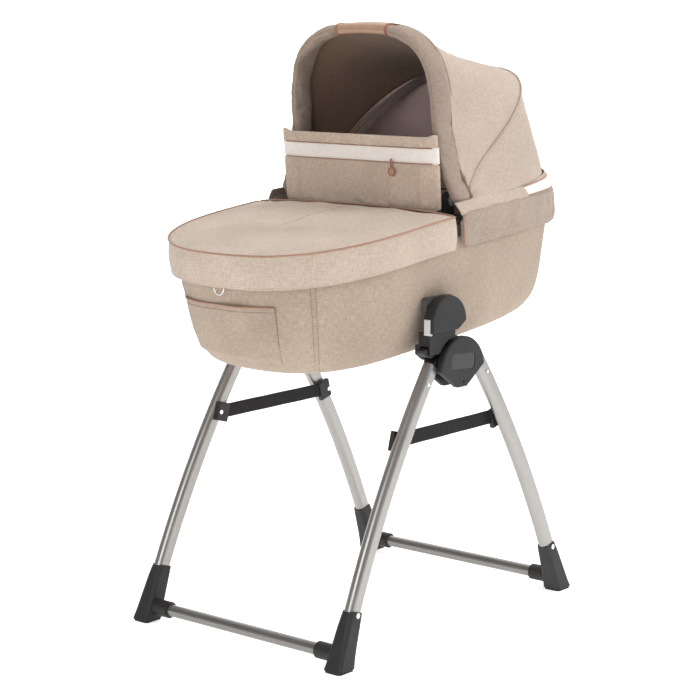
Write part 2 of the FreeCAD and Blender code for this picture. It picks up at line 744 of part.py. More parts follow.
def wind_flap():
    """The raised flap: flat in the middle, its ends bent back."""
    def edge(shift):
        return [Vec(FLAP_X + shift, -FLAP_FLAT, 0), Vec(FLAP_X + shift, FLAP_FLAT, 0)]

    front = edge(-FLAP_THICK / 2)
    back = edge(FLAP_THICK / 2)
    bend = (FLAP_HALF - FLAP_FLAT) / 2
    tip = FLAP_X + FLAP_BACK

    def side_arc(start, sign, shift):
        middle = Vec(start.x + FLAP_BACK * 0.3, sign * (FLAP_FLAT + bend), 0)
        end = Vec(tip + shift, sign * FLAP_HALF, 0)
        return middle, end

    mid_a, end_a = side_arc(front[1], 1, -FLAP_THICK / 2)
    mid_b, end_b = side_arc(back[1], 1, FLAP_THICK / 2)
    mid_c, end_c = side_arc(front[0], -1, -FLAP_THICK / 2)
    mid_d, end_d = side_arc(back[0], -1, FLAP_THICK / 2)
    edges = [
        Part.LineSegment(front[0], front[1]).toShape(),
        Part.Arc(front[1], mid_a, end_a).toShape(),
        Part.LineSegment(end_a, end_b).toShape(),
        Part.Arc(end_b, mid_b, back[1]).toShape(),
        Part.LineSegment(back[1], back[0]).toShape(),
        Part.Arc(back[0], mid_d, end_d).toShape(),
        Part.LineSegment(end_d, end_c).toShape(),
        Part.Arc(end_c, mid_c, front[0]).toShape(),
    ]
    face = Part.Face(Part.Wire(edges))
    face.translate(Vec(0, 0, FLAP_LOW))
    panel = face.extrude(Vec(0, 0, FLAP_TALL))
    hem_cord = cylinder_y(2.2, FLAP_X, FLAP_LOW, -FLAP_FLAT, FLAP_FLAT)
    return panel.fuse(hem_cord)


def zip_charm():
    """A plain disc on a short loop, hanging on the flap's front."""
    x = FLAP_X - FLAP_THICK / 2 - 2.6
    y = -82.0
    z = 789.0
    disc = Part.makeCylinder(8.5, 2.6, Vec(x - 1.3, y, z), X_AXIS)
    stem = box(x - 0.8, x + 0.8, y - 1.5, y + 1.5, z + 7, z + 22)
    eye = Part.makeCylinder(2.2, 1.6, Vec(x - 0.8, y, z + 22), X_AXIS)
    return disc.fuse([stem, eye]).removeSplitter()


# ---- hood -------------------------------------------------------------------
class Arch:
    """A hood arch: half width, flare at the base, height of the straight
    sides, reach at the top and power of the rounded top."""

    def __init__(self, half, flare, straight, reach, power):
        self.half = half
        self.flare = flare
        self.straight = straight
        self.reach = reach
        self.power = power

    def inset(self, depth):
        return Arch(self.half - depth, self.flare, self.straight, self.reach - depth, self.power)

    def between(self, other, share):
        def mix(a, b):
            return a + (b - a) * share

        return Arch(mix(self.half, other.half), mix(self.flare, other.flare), mix(self.straight, other.straight),
                    mix(self.reach, other.reach), mix(self.power, other.power))

    def side(self, low):
        """Points up the left side, from the base to the top of the arch."""
        points = []
        for step in range(SEGMENTS):
            height = low + (self.straight - low) * step / SEGMENTS
            spread = self.flare * max(0.0, 1 - max(0.0, height) / self.straight) ** 2
            points.append((self.half + spread, height))
        for step in range(SEGMENTS):
            angle = math.pi / 2 * step / SEGMENTS
            y = self.half * math.cos(angle) ** (2 / self.power)
            rise = (self.reach - self.straight) * math.sin(angle) ** (2 / self.power)
            points.append((y, self.straight + rise))
        return points

    def outline(self, low):
        left = self.side(low)
        right = [(-y, height) for y, height in reversed(left)]
        return left + [(0.0, self.reach)] + right


FRONT = Arch(169.0, 38.0, 132.0, 302.0, 3.0)
REAR = Arch(172.0, 34.0, 140.0, 373.0, 2.7)
BASE = Arch(206.0, 0.0, 40.0, HEAD_TIP - 14.0 - HOOD_X, 2.4)
REAR_BOW = Arch(145.0, 37.0, 140.0, 369.5, 2.7)


def fan_point(y, reach, angle):
    """A point of the plane that stands at an angle on the hood's pivot line."""
    radians = math.radians(angle)
    return Vec(HOOD_X + reach * math.cos(radians), y, HOOD_Z + reach * math.sin(radians))


def arch_wire(arch, angle, low):
    points = [fan_point(y, reach, angle) for y, reach in arch.outline(low)]
    curve = Part.BSplineCurve()
    curve.interpolate(points)
    base = Part.LineSegment(points[-1], points[0])
    return Part.Wire([curve.toShape(), base.toShape()])


def arch_bar(outer, inner, angle, low, half_depth):
    """A bar that follows an arch; its depth is square to the arch's plane."""
    radians = math.radians(angle)
    normal = Vec(-math.sin(radians), 0, math.cos(radians))
    solid_outer = Part.Face(arch_wire(outer, angle, low))
    solid_inner = Part.Face(arch_wire(inner, angle, low - 6))
    start = normal * (-half_depth)
    solid_outer.translate(start)
    solid_inner.translate(start * 1.2)
    return solid_outer.extrude(normal * (2 * half_depth)).cut(solid_inner.extrude(normal * (2.4 * half_depth)))


def arch_at(angle):
    """The canopy's arch at an angle between the front bow and the rim."""
    if angle > REAR_ANGLE:
        share = (90 - angle) / (90 - REAR_ANGLE)
        arch = FRONT.between(REAR, share)
        first = Vec(0, 0, FRONT.reach)
        last = Vec(REAR.reach * math.cos(math.radians(REAR_ANGLE)), 0, REAR.reach * math.sin(math.radians(REAR_ANGLE)))
        arch.reach = chord_reach(first, last, angle, 13.0)
        return arch
    share = (REAR_ANGLE - angle) / REAR_ANGLE
    arch = REAR.between(BASE, share)
    first = Vec(REAR.reach * math.cos(math.radians(REAR_ANGLE)), 0, REAR.reach * math.sin(math.radians(REAR_ANGLE)))
    arch.reach = chord_reach(first, Vec(BASE.reach, 0, 0), angle, 3.0)
    return arch


def chord_reach(first, last, angle, sag):
    """How far a ray at an angle goes before it meets the cloth between two
    bows: a straight chord that sags towards the pivot in the middle."""
    radians = math.radians(angle)
    ray = (math.cos(radians), math.sin(radians))
    run = (last.x - first.x, last.z - first.z)
    cross = ray[0] * run[1] - ray[1] * run[0]
    reach = (first.x * run[1] - first.z * run[0]) / cross
    share = (first.z - reach * ray[1]) / (first.z - last.z)
    return reach - sag * 4 * share * (1 - share)


def canopy_shell(angles):
    """A canopy panel between the first and the last angle."""
    outer = Part.makeLoft([arch_wire(arch_at(a), a, 24) for a in angles], True, False)
    wider = [angles[0] + 4] + angles[1:-1] + [angles[-1] - 4]
    inner_arches = [arch_at(min(90, max(0, a))).inset(CANOPY_THICK) for a in wider]
    inner = Part.makeLoft([arch_wire(arch, a, 12) for arch, a in zip(inner_arches, wider)], True, False)
    return outer.cut(inner)


def rear_bow_seat():
    """The groove inside the canopy that the rear bow lies in."""
    return arch_bar(REAR_BOW.inset(-0.4), REAR_BOW.inset(9), REAR_ANGLE, 4, 6.6)


def canopy_front():
    shell = canopy_shell([90, 76, 62, 49, REAR_ANGLE + 0.2]).cut(rear_bow_seat())
    clear = HOOD_X + SLEEVE_HALF + GAP
    return largest(shell.cut(box(HOOD_X - 60, clear, -300, 300, 600, 1100)))


def canopy_back():
    shell = canopy_shell([REAR_ANGLE - 0.2, 27, 18, 9, 0]).cut(rear_bow_seat())
    return largest(shell.cut(box(HOOD_X - 60, HOOD_X + 36, -300, 300, 600, 1100)))


def pivot_room():
    """The room that the hood's eyes and pin turn in, on both sides."""
    return both_sides(cylinder_y(EYE_R + 0.6, HOOD_X, HOOD_Z, 150, 203))


def sleeve():
    """The padded sleeve round the front bow, left open where the grip is."""
    body = arch_bar(FRONT, FRONT.inset(SLEEVE_THICK), 90, -4, SLEEVE_HALF)
    channel = arch_bar(FRONT.inset(6.7), FRONT.inset(13.3), 90, -20, 7.3)
    return body.cut([channel, pivot_room()])


def grip():
    """The leatherette wrap at the middle of the front bow."""
    body = arch_bar(FRONT.inset(1.0), FRONT.inset(SLEEVE_THICK - 1.0), 90, -4, 14)
    channel = arch_bar(FRONT.inset(6.7), FRONT.inset(13.3), 90, -20, 7.3)
    middle = box(-100, 300, -GRIP_HALF + GAP, GRIP_HALF - GAP, 900, 1100)
    return body.cut(channel).common(middle)


def bow(arch, thick, half_depth, angle, eye_y):
    """A hood bow with the eyes that turn on the hood's pivot pins."""
    body = arch_bar(arch, arch.inset(thick), angle, 6, half_depth)
    eyes = []
    for sign in (1, -1):
        low, high = sorted((sign * eye_y[0], sign * eye_y[1]))
        eyes.append(cylinder_y(EYE_R, HOOD_X, HOOD_Z, low, high))
    body = body.fuse(eyes).removeSplitter()
    return body.cut(cylinder_y(PIN_R + FIT, HOOD_X, HOOD_Z, -260, 260))


def front_bow():
    return bow(FRONT.inset(7), 6, 7, 90, (194.0, 200.0))


def rear_bow():
    return bow(REAR_BOW, 6, 6, REAR_ANGLE, (176.0, 182.0))


def hood_bracket():
    """The plate on the rim that carries the hood's pivot pin."""
    inside = 161.5
    outside = inside + 6
    web = box(HOOD_X - 14, HOOD_X + 14, inside, outside, 710, HOOD_Z)
    top = cylinder_y(14, HOOD_X, HOOD_Z, inside, outside)
    foot = box(HOOD_X - 14, HOOD_X + 14, inside, 213, 707.5, 711.5)
    body = web.fuse([top, foot]).removeSplitter()
    return body.cut(cylinder_y(PIN_R + 0.02, HOOD_X, HOOD_Z, 150, 190))


def hood_pin():
    return cylinder_y(PIN_R, HOOD_X, HOOD_Z, 160.5, 202)


def make_hood():
    padding = sleeve()
    for name, sign in (("left", 1), ("right", -1)):
        low, high = sorted((sign * GRIP_HALF, sign * 400))
        half = padding.common(box(-100, 300, low, high, 600, 1200))
        save_tilted("bow_sleeve_" + name, half)
    save_tilted("grip", grip())
    save_tilted("front_bow", front_bow())
    save_tilted("rear_bow", rear_bow())
    save_tilted("canopy_front", canopy_front())
    save_tilted("canopy_back", canopy_back())
    save_tilted("hood_brackets", both_sides(hood_bracket()))
    save_tilted("hood_pins", both_sides(hood_pin()))


def report_size():
    """Print the whole object's box and any piece that isn't sound."""
    whole = FreeCAD.BoundBox()
    for name, shape in SAVED.items():
        whole.add(shape.BoundBox)
        if not shape.isValid() or not shape.Solids:
            print("unsound:", name)
    print("x %.3f %.3f" % (whole.XMin, whole.XMax))
    print("y %.3f %.3f" % (whole.YMin, whole.YMax))
    print("z %.3f %.3f" % (whole.ZMin, whole.ZMax))


def main():
    os.makedirs("parts", exist_ok=True)
    make_frames()
    make_hubs()
    make_bassinet()
    save_tilted("wind_flap", wind_flap())
    save_tilted("zip_charm", zip_charm())
    make_hood()
    report_size()


main()
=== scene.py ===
import math

import bmesh
import bpy
import numpy as np
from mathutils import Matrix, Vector


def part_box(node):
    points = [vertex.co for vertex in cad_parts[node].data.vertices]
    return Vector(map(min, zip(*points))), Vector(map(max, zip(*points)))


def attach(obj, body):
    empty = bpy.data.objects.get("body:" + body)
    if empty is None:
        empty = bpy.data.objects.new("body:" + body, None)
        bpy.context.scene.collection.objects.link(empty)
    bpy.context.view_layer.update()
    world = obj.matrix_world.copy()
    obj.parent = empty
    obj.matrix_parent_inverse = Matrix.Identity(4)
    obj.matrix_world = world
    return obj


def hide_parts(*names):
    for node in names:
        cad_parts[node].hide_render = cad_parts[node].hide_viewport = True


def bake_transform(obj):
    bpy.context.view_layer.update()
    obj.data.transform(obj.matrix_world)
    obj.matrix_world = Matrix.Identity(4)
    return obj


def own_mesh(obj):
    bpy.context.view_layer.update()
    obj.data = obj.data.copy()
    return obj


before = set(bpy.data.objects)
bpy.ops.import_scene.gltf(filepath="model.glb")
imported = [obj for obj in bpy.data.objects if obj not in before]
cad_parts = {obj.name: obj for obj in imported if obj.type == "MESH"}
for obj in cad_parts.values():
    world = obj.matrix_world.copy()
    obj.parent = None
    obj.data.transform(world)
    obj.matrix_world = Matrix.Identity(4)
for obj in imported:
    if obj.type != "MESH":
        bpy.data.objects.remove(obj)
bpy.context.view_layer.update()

# Bassinet on a folding stand: the looks.  Metres, in the row's frame.  The
# bassinet's cloth is laid out level, with x measured from the stand's hubs,
# and placed() tilts it and moves it into the row's frame.


# ---- driving dimensions -----------------------------------------------------
def middle(node, axis):
    low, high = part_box(node)
    return (low[axis] + high[axis]) / 2


HUB_X = middle("hub_cap_left", 0)
TILT = math.radians(4.5)        # head end up
TILT_Z = 0.668                  # height of the tilt line above the hubs
FOOT_TIP = -0.356
HEAD_TIP = 0.454
WIDEST_X = -0.100
HALF_WIDTH = 0.224
FOOT_POWER = 2.6
HEAD_POWER = 3.0
SKIRT_Z = 0.667                 # lower edge of the skirt at mid length
SKIRT_TALL = 0.054
SHEER = 0.021                   # both tips lie this much lower
WALL_TOP = 0.705
SPLIT_X = 0.003                 # foot cover and head band meet here
# inset from the skirt's outside against height, for the tub's outer cloth
TUB_PROFILE = [
    (0.012, 0.703), (0.014, 0.655), (0.0225, 0.600), (0.031, 0.552), (0.041, 0.520),
    (0.056, 0.499), (0.077, 0.4885), (0.100, 0.4845), (0.150, 0.4835), (0.205, 0.4832),
]
LINER_DEPTH = 0.0075
SEAM_ANGLE = 2.44               # the tub's two upright seams, round the plan
POCKET_NEAR = -2.786
POCKET_FAR = 2.52
POCKET_TOP = 0.607
POCKET_LOW = 0.512

HOOD_X = 0.049
HOOD_Z = 0.738
REAR_ANGLE = 31.5
SLEEVE_HALF = 0.023
GRIP_HALF = 0.057

FLAP_X = 0.008
FLAP_HALF = 0.176
FLAP_FLAT = 0.135
FLAP_BACK = 0.008
FLAP_LOW = 0.7245
FLAP_TALL = 0.126
STRIPE_LOW = 0.080              # the pale stripe, measured up from the flap's foot
STRIPE_HIGH = 0.107


# ---- shape helpers -----------------------------------------------------------
def placed(points):
    """Level, hub-relative points as points of the row's frame."""
    points = np.asarray(points, float)
    x, y, z = points[..., 0], points[..., 1], points[..., 2] - TILT_Z
    return np.stack([
        x * math.cos(TILT) - z * math.sin(TILT) + HUB_X,
        y,
        TILT_Z + x * math.sin(TILT) + z * math.cos(TILT),
    ], axis=-1)


def lengths(line):
    """Distance along a line of points, from its first point."""
    steps = np.linalg.norm(np.diff(line, axis=0), axis=1)
    return np.concatenate([[0.0], np.cumsum(steps)])


def resampled(line, count):
    """The same line with evenly spaced points."""
    line = np.asarray(line, float)
    along = lengths(line)
    at = np.linspace(0, along[-1], count)
    return np.stack([np.interp(at, along, line[:, k]) for k in range(line.shape[1])], axis=1)


def smooth_line(points, count):
    """A Catmull-Rom curve through the points, evenly spaced."""
    p = np.asarray(points, float)
    p = np.vstack([2 * p[0] - p[1], p, 2 * p[-1] - p[-2]])
    out = []
    for i in range(1, len(p) - 2):
        for t in np.linspace(0, 1, 24, endpoint=False):
            a, b, c, d = p[i - 1:i + 3]
            out.append(0.5 * (2 * b + (c - a) * t + (2 * a - 5 * b + 4 * c - d) * t * t
                              + (3 * b - a - 3 * c + d) * t ** 3))
    out.append(p[-2])
    return resampled(np.array(out), count)


def smoothstep(low, high, value):
    t = np.clip((value - low) / (high - low), 0, 1)
    return t * t * (3 - 2 * t)


def ripple(points, size, seed, waves=7):
    """A smooth, seeded noise from -1 to 1 with dents of about this size."""
    rng = np.random.default_rng(seed)
    total = np.zeros(points.shape[:-1])
    for _ in range(waves):
        direction = rng.normal(size=3)
        direction /= np.linalg.norm(direction)
        pitch = size * rng.uniform(0.7, 1.6)
        total += np.sin(points @ direction * 2 * math.pi / pitch + rng.uniform(0, 2 * math.pi))
    return total / waves ** 0.5 / 1.5


def mesh_piece(name, points, faces, uvs=None):
    """A smooth-shaded mesh object; uvs are metres along the cloth."""
    mesh = bpy.data.meshes.new(name)
    mesh.from_pydata([tuple(p) for p in points], [], faces)
    if uvs is not None:
        layer = mesh.uv_layers.new(name="weave")
        layer.data.foreach_set("uv", np.asarray(uvs, np.float32).ravel())
    mesh.polygons.foreach_set("use_smooth", [True] * len(mesh.polygons))
    mesh.update()
    piece = bpy.data.objects.new(name, mesh)
    bpy.context.scene.collection.objects.link(piece)
    return piece


def grid_faces(rows, cols, wrap, flip):
    last = cols if wrap else cols - 1
    r, c = np.meshgrid(np.arange(rows - 1), np.arange(last), indexing="ij")
    nxt = (c + 1) % cols
    quads = np.stack([r * cols + c, r * cols + nxt, (r + 1) * cols + nxt, (r + 1) * cols + c], -1)
    corners = np.stack([np.stack([r, c], -1), np.stack([r, c + 1], -1),
                        np.stack([r + 1, c + 1], -1), np.stack([r + 1, c], -1)], -2)
    quads = quads.reshape(-1, 4)
    corners = corners.reshape(-1, 4, 2)
    if flip:
        quads = quads[:, ::-1]
        corners = corners[:, ::-1]
    return quads.tolist(), corners


def grid(name, points, wrap=False, flip=False, caps=False):
    """A quad mesh over a rows by cols array of points; wrap joins the last
    column to the first, and caps closes the first and last rows."""
    rows, cols = points.shape[:2]
    faces, corners = grid_faces(rows, cols, wrap, flip)
    ring = np.concatenate([points, points[:, :1]], axis=1) if wrap else points
    u = np.mean([lengths(line) for line in ring[:: max(1, rows // 6)]], axis=0)
    v = np.mean([lengths(points[:, k]) for k in range(0, cols, max(1, cols // 6))], axis=0)
    uvs = np.stack([u[corners[..., 1]], v[corners[..., 0]]], -1).reshape(-1, 2).tolist()
    if caps:
        first = list(range(cols))
        last = [(rows - 1) * cols + k for k in range(cols)]
        for loop, turn in ((first, not flip), (last, flip)):
            loop = loop[::-1] if turn else loop
            faces.append(loop)
            uvs += [[u[k % cols], 0.0] for k in range(cols)]
    return mesh_piece(name, points.reshape(-1, 3), faces, uvs)


def grid_normals(points, wrap=False):
    """Unit normals of a grid, from rows crossed with columns."""
    along = np.gradient(points, axis=0)
    if wrap:
        across = (np.roll(points, -1, axis=1) - np.roll(points, 1, axis=1)) / 2
    else:
        across = np.gradient(points, axis=1)
    normal = np.cross(across, along)
    return normal / np.maximum(np.linalg.norm(normal, axis=-1, keepdims=True), 1e-9)


def sweep_points(path, side, rise, section):
    """Sections set along a path: side and rise are the section's two axes."""
    section = np.asarray(section, float)
    if section.ndim == 2:
        section = np.repeat(section[None], len(path), axis=0)
    return path[:, None] + side[:, None] * section[..., 0:1] + rise[:, None] * section[..., 1:2]


def tangents(path):
    step = np.gradient(path, axis=0)
    return step / np.linalg.norm(step, axis=1, keepdims=True)


def tube(name, path, radius, sides=10, taper=True):
    """A round cord along a path in the row's frame."""
    path = np.asarray(path, float)
    tangent = tangents(path)
    hint = np.tile([0.31, 0.17, 0.93], (len(path), 1))
    side = np.cross(tangent, hint)
    side /= np.linalg.norm(side, axis=1, keepdims=True)
    rise = np.cross(side, tangent)
    turn = np.linspace(0, 2 * math.pi, sides, endpoint=False)
    ring = np.stack([np.cos(turn), np.sin(turn)], -1) * radius
    section = np.repeat(ring[None], len(path), axis=0)
    if taper:
        section[0] *= 0.45
        section[-1] *= 0.45
    return grid(name, sweep_points(path, side, rise, section), wrap=True, flip=True, caps=True)


def joined(name, pieces):
    """Several mesh objects as one."""
    for piece in bpy.context.selected_objects:
        piece.select_set(False)
    for piece in pieces:
        piece.select_set(True)
    bpy.context.view_layer.objects.active = pieces[0]
    bpy.ops.object.join()
    pieces[0].name = name
    pieces[0].data.name = name
    return pieces[0]


def stitches(name, path, step=0.0046, length=0.0031, radius=0.00042):
    """A row of separate thread stitches along a path in the row's frame."""
    path = np.asarray(path, float)
    along = lengths(path)
    count = max(2, int(along[-1] / step))
    verts = []
    faces = []
    sides = 5
    for k in range(count):
        at = along[-1] * (k + 0.5) / count
        spots = at + np.linspace(-length / 2, length / 2, 4)
        line = np.stack([np.interp(spots, along, path[:, i]) for i in range(3)], -1)
        tangent = line[-1] - line[0]
        tangent /= max(np.linalg.norm(tangent), 1e-9)
        side = np.cross(tangent, [0.31, 0.17, 0.93])
        side /= np.linalg.norm(side)
        rise = np.cross(side, tangent)
        base = len(verts)
        for i, point in enumerate(line):
            r = radius * (0.35 if i in (0, 3) else 1.0)
            for j in range(sides):
                a = 2 * math.pi * j / sides
                verts.append(point + side * r * math.cos(a) + rise * r * math.sin(a))
        for i in range(3):
            for j in range(sides):
                a = base + i * sides + j
                b = base + i * sides + (j + 1) % sides
                faces.append([a, a + sides, b + sides, b])
        faces.append([base + j for j in range(sides)])
        faces.append([base + 3 * sides + j for j in reversed(range(sides))])
    return mesh_piece(name, verts, faces)


def thicken(piece, thickness, offset, inner_slot=0):
    """Give a sheet its thickness; its inner face may take another material slot."""
    solid = piece.modifiers.new("thickness", "SOLIDIFY")
    solid.thickness = thickness
    solid.offset = offset
    solid.material_offset = inner_slot


CLOTH = {
    "quality": 5, "mass": 0.25, "tension_stiffness": 18, "compression_stiffness": 18,
    "shear_stiffness": 8, "bending_stiffness": 0.6, "use_pressure": True, "vertex_group_mass": "pin",
}


def puff(piece, pinned, pressure=3.0, cap=0.006, grow=0.0, frames=20):
    """Let the cloth between the pinned points blow out and wrinkle."""
    group = piece.vertex_groups.new(name="pin")
    group.add(np.flatnonzero(pinned).tolist(), 1.0, "REPLACE")
    cloth = piece.modifiers.new("cloth", "CLOTH")
    for setting, value in CLOTH.items():
        setattr(cloth.settings, setting, value)
    cloth.settings.uniform_pressure_force = pressure
    cloth.settings.shrink_min = -grow
    cloth.settings.effector_weights.gravity = 0.0
    cloth.collision_settings.use_collision = False
    cloth.collision_settings.use_self_collision = False
    cloth.point_cache.frame_start = 1
    cloth.point_cache.frame_end = frames
    scene = bpy.context.scene
    for number in range(1, frames + 1):
        scene.frame_set(number)
    graph = bpy.context.evaluated_depsgraph_get()
    shown = piece.evaluated_get(graph)
    moved = np.array([v.co for v in shown.data.vertices], float)
    piece.modifiers.remove(cloth)
    rest = np.array([v.co for v in piece.data.vertices], float)
    change = moved - rest
    size = np.linalg.norm(change, axis=1, keepdims=True)
    change *= np.minimum(1.0, cap / np.maximum(size, 1e-9))
    change[~np.isfinite(change)] = 0.0
    piece.data.vertices.foreach_set("co", (rest + change).astype(np.float32).ravel())
    piece.data.update()
    scene.frame_set(1)


# ---- materials ----------------------------------------------------------------
class Paint:
    """A procedural material: nodes are added with short calls."""

    def __init__(self, name, roughness=0.8, metallic=0.0, specular=0.5):
        self.material = bpy.data.materials.new(name)
        self.material.use_nodes = True
        self.tree = self.material.node_tree
        self.shader = self.tree.nodes["Principled BSDF"]
        self.shader.inputs["Roughness"].default_value = roughness
        self.shader.inputs["Metallic"].default_value = metallic
        self.shader.inputs["Specular IOR Level"].default_value = specular
        self.place = self.tree.nodes.new("ShaderNodeTexCoord")

    def link(self, out, into):
        self.tree.links.new(out, into)

    def coords(self, source, scale):
        mapping = self.tree.nodes.new("ShaderNodeMapping")
        mapping.inputs["Scale"].default_value = scale
        self.link(self.place.outputs[source], mapping.inputs["Vector"])
        return mapping.outputs["Vector"]

    def noise(self, source, scale, detail=2.0, rough=0.5):
        node = self.tree.nodes.new("ShaderNodeTexNoise")
        node.inputs["Scale"].default_value = 1.0
        node.inputs["Detail"].default_value = detail
        node.inputs["Roughness"].default_value = rough
        self.link(self.coords(source, scale), node.inputs["Vector"])
        return node.outputs["Fac"]

    def wave(self, source, scale, distortion=0.6):
        node = self.tree.nodes.new("ShaderNodeTexWave")
        node.inputs["Scale"].default_value = 1.0
        node.inputs["Distortion"].default_value = distortion
        node.inputs["Detail Scale"].default_value = 2.0
        self.link(self.coords(source, scale), node.inputs["Vector"])
        return node.outputs["Fac"]

    def mean(self, one, other, share=0.5):
        node = self.tree.nodes.new("ShaderNodeMix")
        node.data_type = "FLOAT"
        node.inputs[0].default_value = share
        self.link(one, node.inputs[2])
        self.link(other, node.inputs[3])
        return node.outputs[0]

    def colours(self, factor, stops):
        node = self.tree.nodes.new("ShaderNodeValToRGB")
        ramp = node.color_ramp
        while len(ramp.elements) < len(stops):
            ramp.elements.new(0.5)
        for element, (position, colour) in zip(ramp.elements, stops):
            element.position = position
            element.color = (*colour, 1.0)
        self.link(factor, node.inputs["Fac"])
        self.link(node.outputs["Color"], self.shader.inputs["Base Color"])
        return node

    def bump(self, height, distance, strength=1.0):
        node = self.tree.nodes.new("ShaderNodeBump")
        node.inputs["Distance"].default_value = distance
        node.inputs["Strength"].default_value = strength
        self.link(height, node.inputs["Height"])
        self.link(node.outputs["Normal"], self.shader.inputs["Normal"])

    def rough_range(self, factor, low, high):
        node = self.tree.nodes.new("ShaderNodeMapRange")
        node.inputs["From Min"].default_value = 0.3
        node.inputs["From Max"].default_value = 0.7
        node.inputs["To Min"].default_value = low
        node.inputs["To Max"].default_value = high
        self.link(factor, node.inputs["Value"])
        self.link(node.outputs["Result"], self.shader.inputs["Roughness"])


def shades(colour, spread, low=0.35, high=0.65):
    """A dark, middle and light stop round a colour."""
    return [
        (low, tuple(c * (1 - spread) for c in colour)),
        (0.5, colour),
        (high, tuple(min(1.0, c * (1 + spread)) for c in colour)),
    ]


def melange(name, colour, contrast=0.16):
    """Linen-look cloth: short warp and weft slubs over a fine thread weave."""
    paint = Paint(name, roughness=0.92, specular=0.15)
    warp = paint.noise("UV", (90, 480, 1), detail=3, rough=0.6)
    weft = paint.noise("UV", (480, 90, 1), detail=3, rough=0.6)
    slubs = paint.mean(warp, weft)
    broad = paint.noise("Object", (9, 9, 9), detail=2)
    paint.colours(paint.mean(slubs, broad, 0.22), shades(colour, contrast, 0.40, 0.60))
    threads = paint.mean(paint.wave("UV", (330, 0, 0)), paint.wave("UV", (0, 330, 0)))
    paint.bump(paint.mean(threads, slubs, 0.6), 0.0007, 0.8)
    paint.shader.inputs["Sheen Weight"].default_value = 0.12
    paint.shader.inputs["Sheen Roughness"].default_value = 0.5
    return paint.material


def leatherette(name, colour, grain=650.0):
    paint = Paint(name, roughness=0.55, specular=0.4)
    fine = paint.noise("Object", (grain, grain, grain), detail=3, rough=0.6)
    broad = paint.noise("Object", (30, 30, 30))
    paint.colours(paint.mean(fine, broad, 0.4), shades(colour, 0.14, 0.36, 0.64))
    paint.bump(fine, 0.0003, 0.7)
    paint.rough_range(broad, 0.46, 0.62)
    return paint.material


def thread(name, colour):
    """Twisted thread or piping cord."""
    paint = Paint(name, roughness=0.7, specular=0.3)
    twist = paint.noise("Object", (900, 900, 900), detail=2)
    paint.colours(twist, shades(colour, 0.2))
    paint.bump(twist, 0.0002, 0.6)
    return paint.material


def metal(name, colour, roughness=0.3, brushed=(1400, 1400, 24)):
    paint = Paint(name, roughness=roughness, metallic=0.85)
    grain = paint.noise("Object", brushed, detail=2)
    broad = paint.noise("Object", (14, 14, 14), detail=3)
    paint.colours(paint.mean(grain, broad, 0.5), shades(colour, 0.05))
    paint.rough_range(broad, roughness - 0.04, roughness + 0.06)
    paint.bump(grain, 0.00003, 0.4)
    return paint.material


def plastic(name, colour, roughness=0.45, texture=900.0, depth=0.00012, spread=0.12):
    paint = Paint(name, roughness=roughness, specular=0.45)
    fine = paint.noise("Object", (texture, texture, texture), detail=2)
    broad = paint.noise("Object", (22, 22, 22), detail=3)
    paint.colours(paint.mean(fine, broad, 0.5), shades(colour, spread))
    paint.rough_range(broad, roughness - 0.06, roughness + 0.08)
    paint.bump(fine, depth, 0.5)
    return paint.material


def webbing(name, colour):
    """Flat woven strap: ribs across and fine threads along."""
    paint = Paint(name, roughness=0.8, specular=0.25)
    rib = paint.wave("UV", (420, 0, 0), 0.2)
    thread_line = paint.wave("UV", (0, 900, 0), 0.2)
    weave = paint.mean(rib, thread_line)
    broad = paint.noise("Object", (30, 30, 30))
    paint.colours(paint.mean(weave, broad, 0.3), shades(colour, 0.35, 0.25, 0.75))
    paint.bump(weave, 0.0005, 0.9)
    return paint.material


def netting(name, colour):
    """Ventilation mesh seen from inside: rows of small dark holes."""
    paint = Paint(name, roughness=0.85, specular=0.2)
    cells = paint.tree.nodes.new("ShaderNodeTexVoronoi")
    cells.inputs["Scale"].default_value = 1.0
    cells.inputs["Randomness"].default_value = 0.15
    paint.link(paint.coords("UV", (480, 480, 1)), cells.inputs["Vector"])
    broad = paint.noise("Object", (20, 20, 20))
    dark = tuple(c * 0.35 for c in colour)
    paint.colours(paint.mean(cells.outputs["Distance"], broad, 0.25),
                  [(0.12, dark), (0.38, colour), (0.8, tuple(c * 1.15 for c in colour))])
    paint.bump(cells.outputs["Distance"], 0.0005, 0.7)
    return paint.material


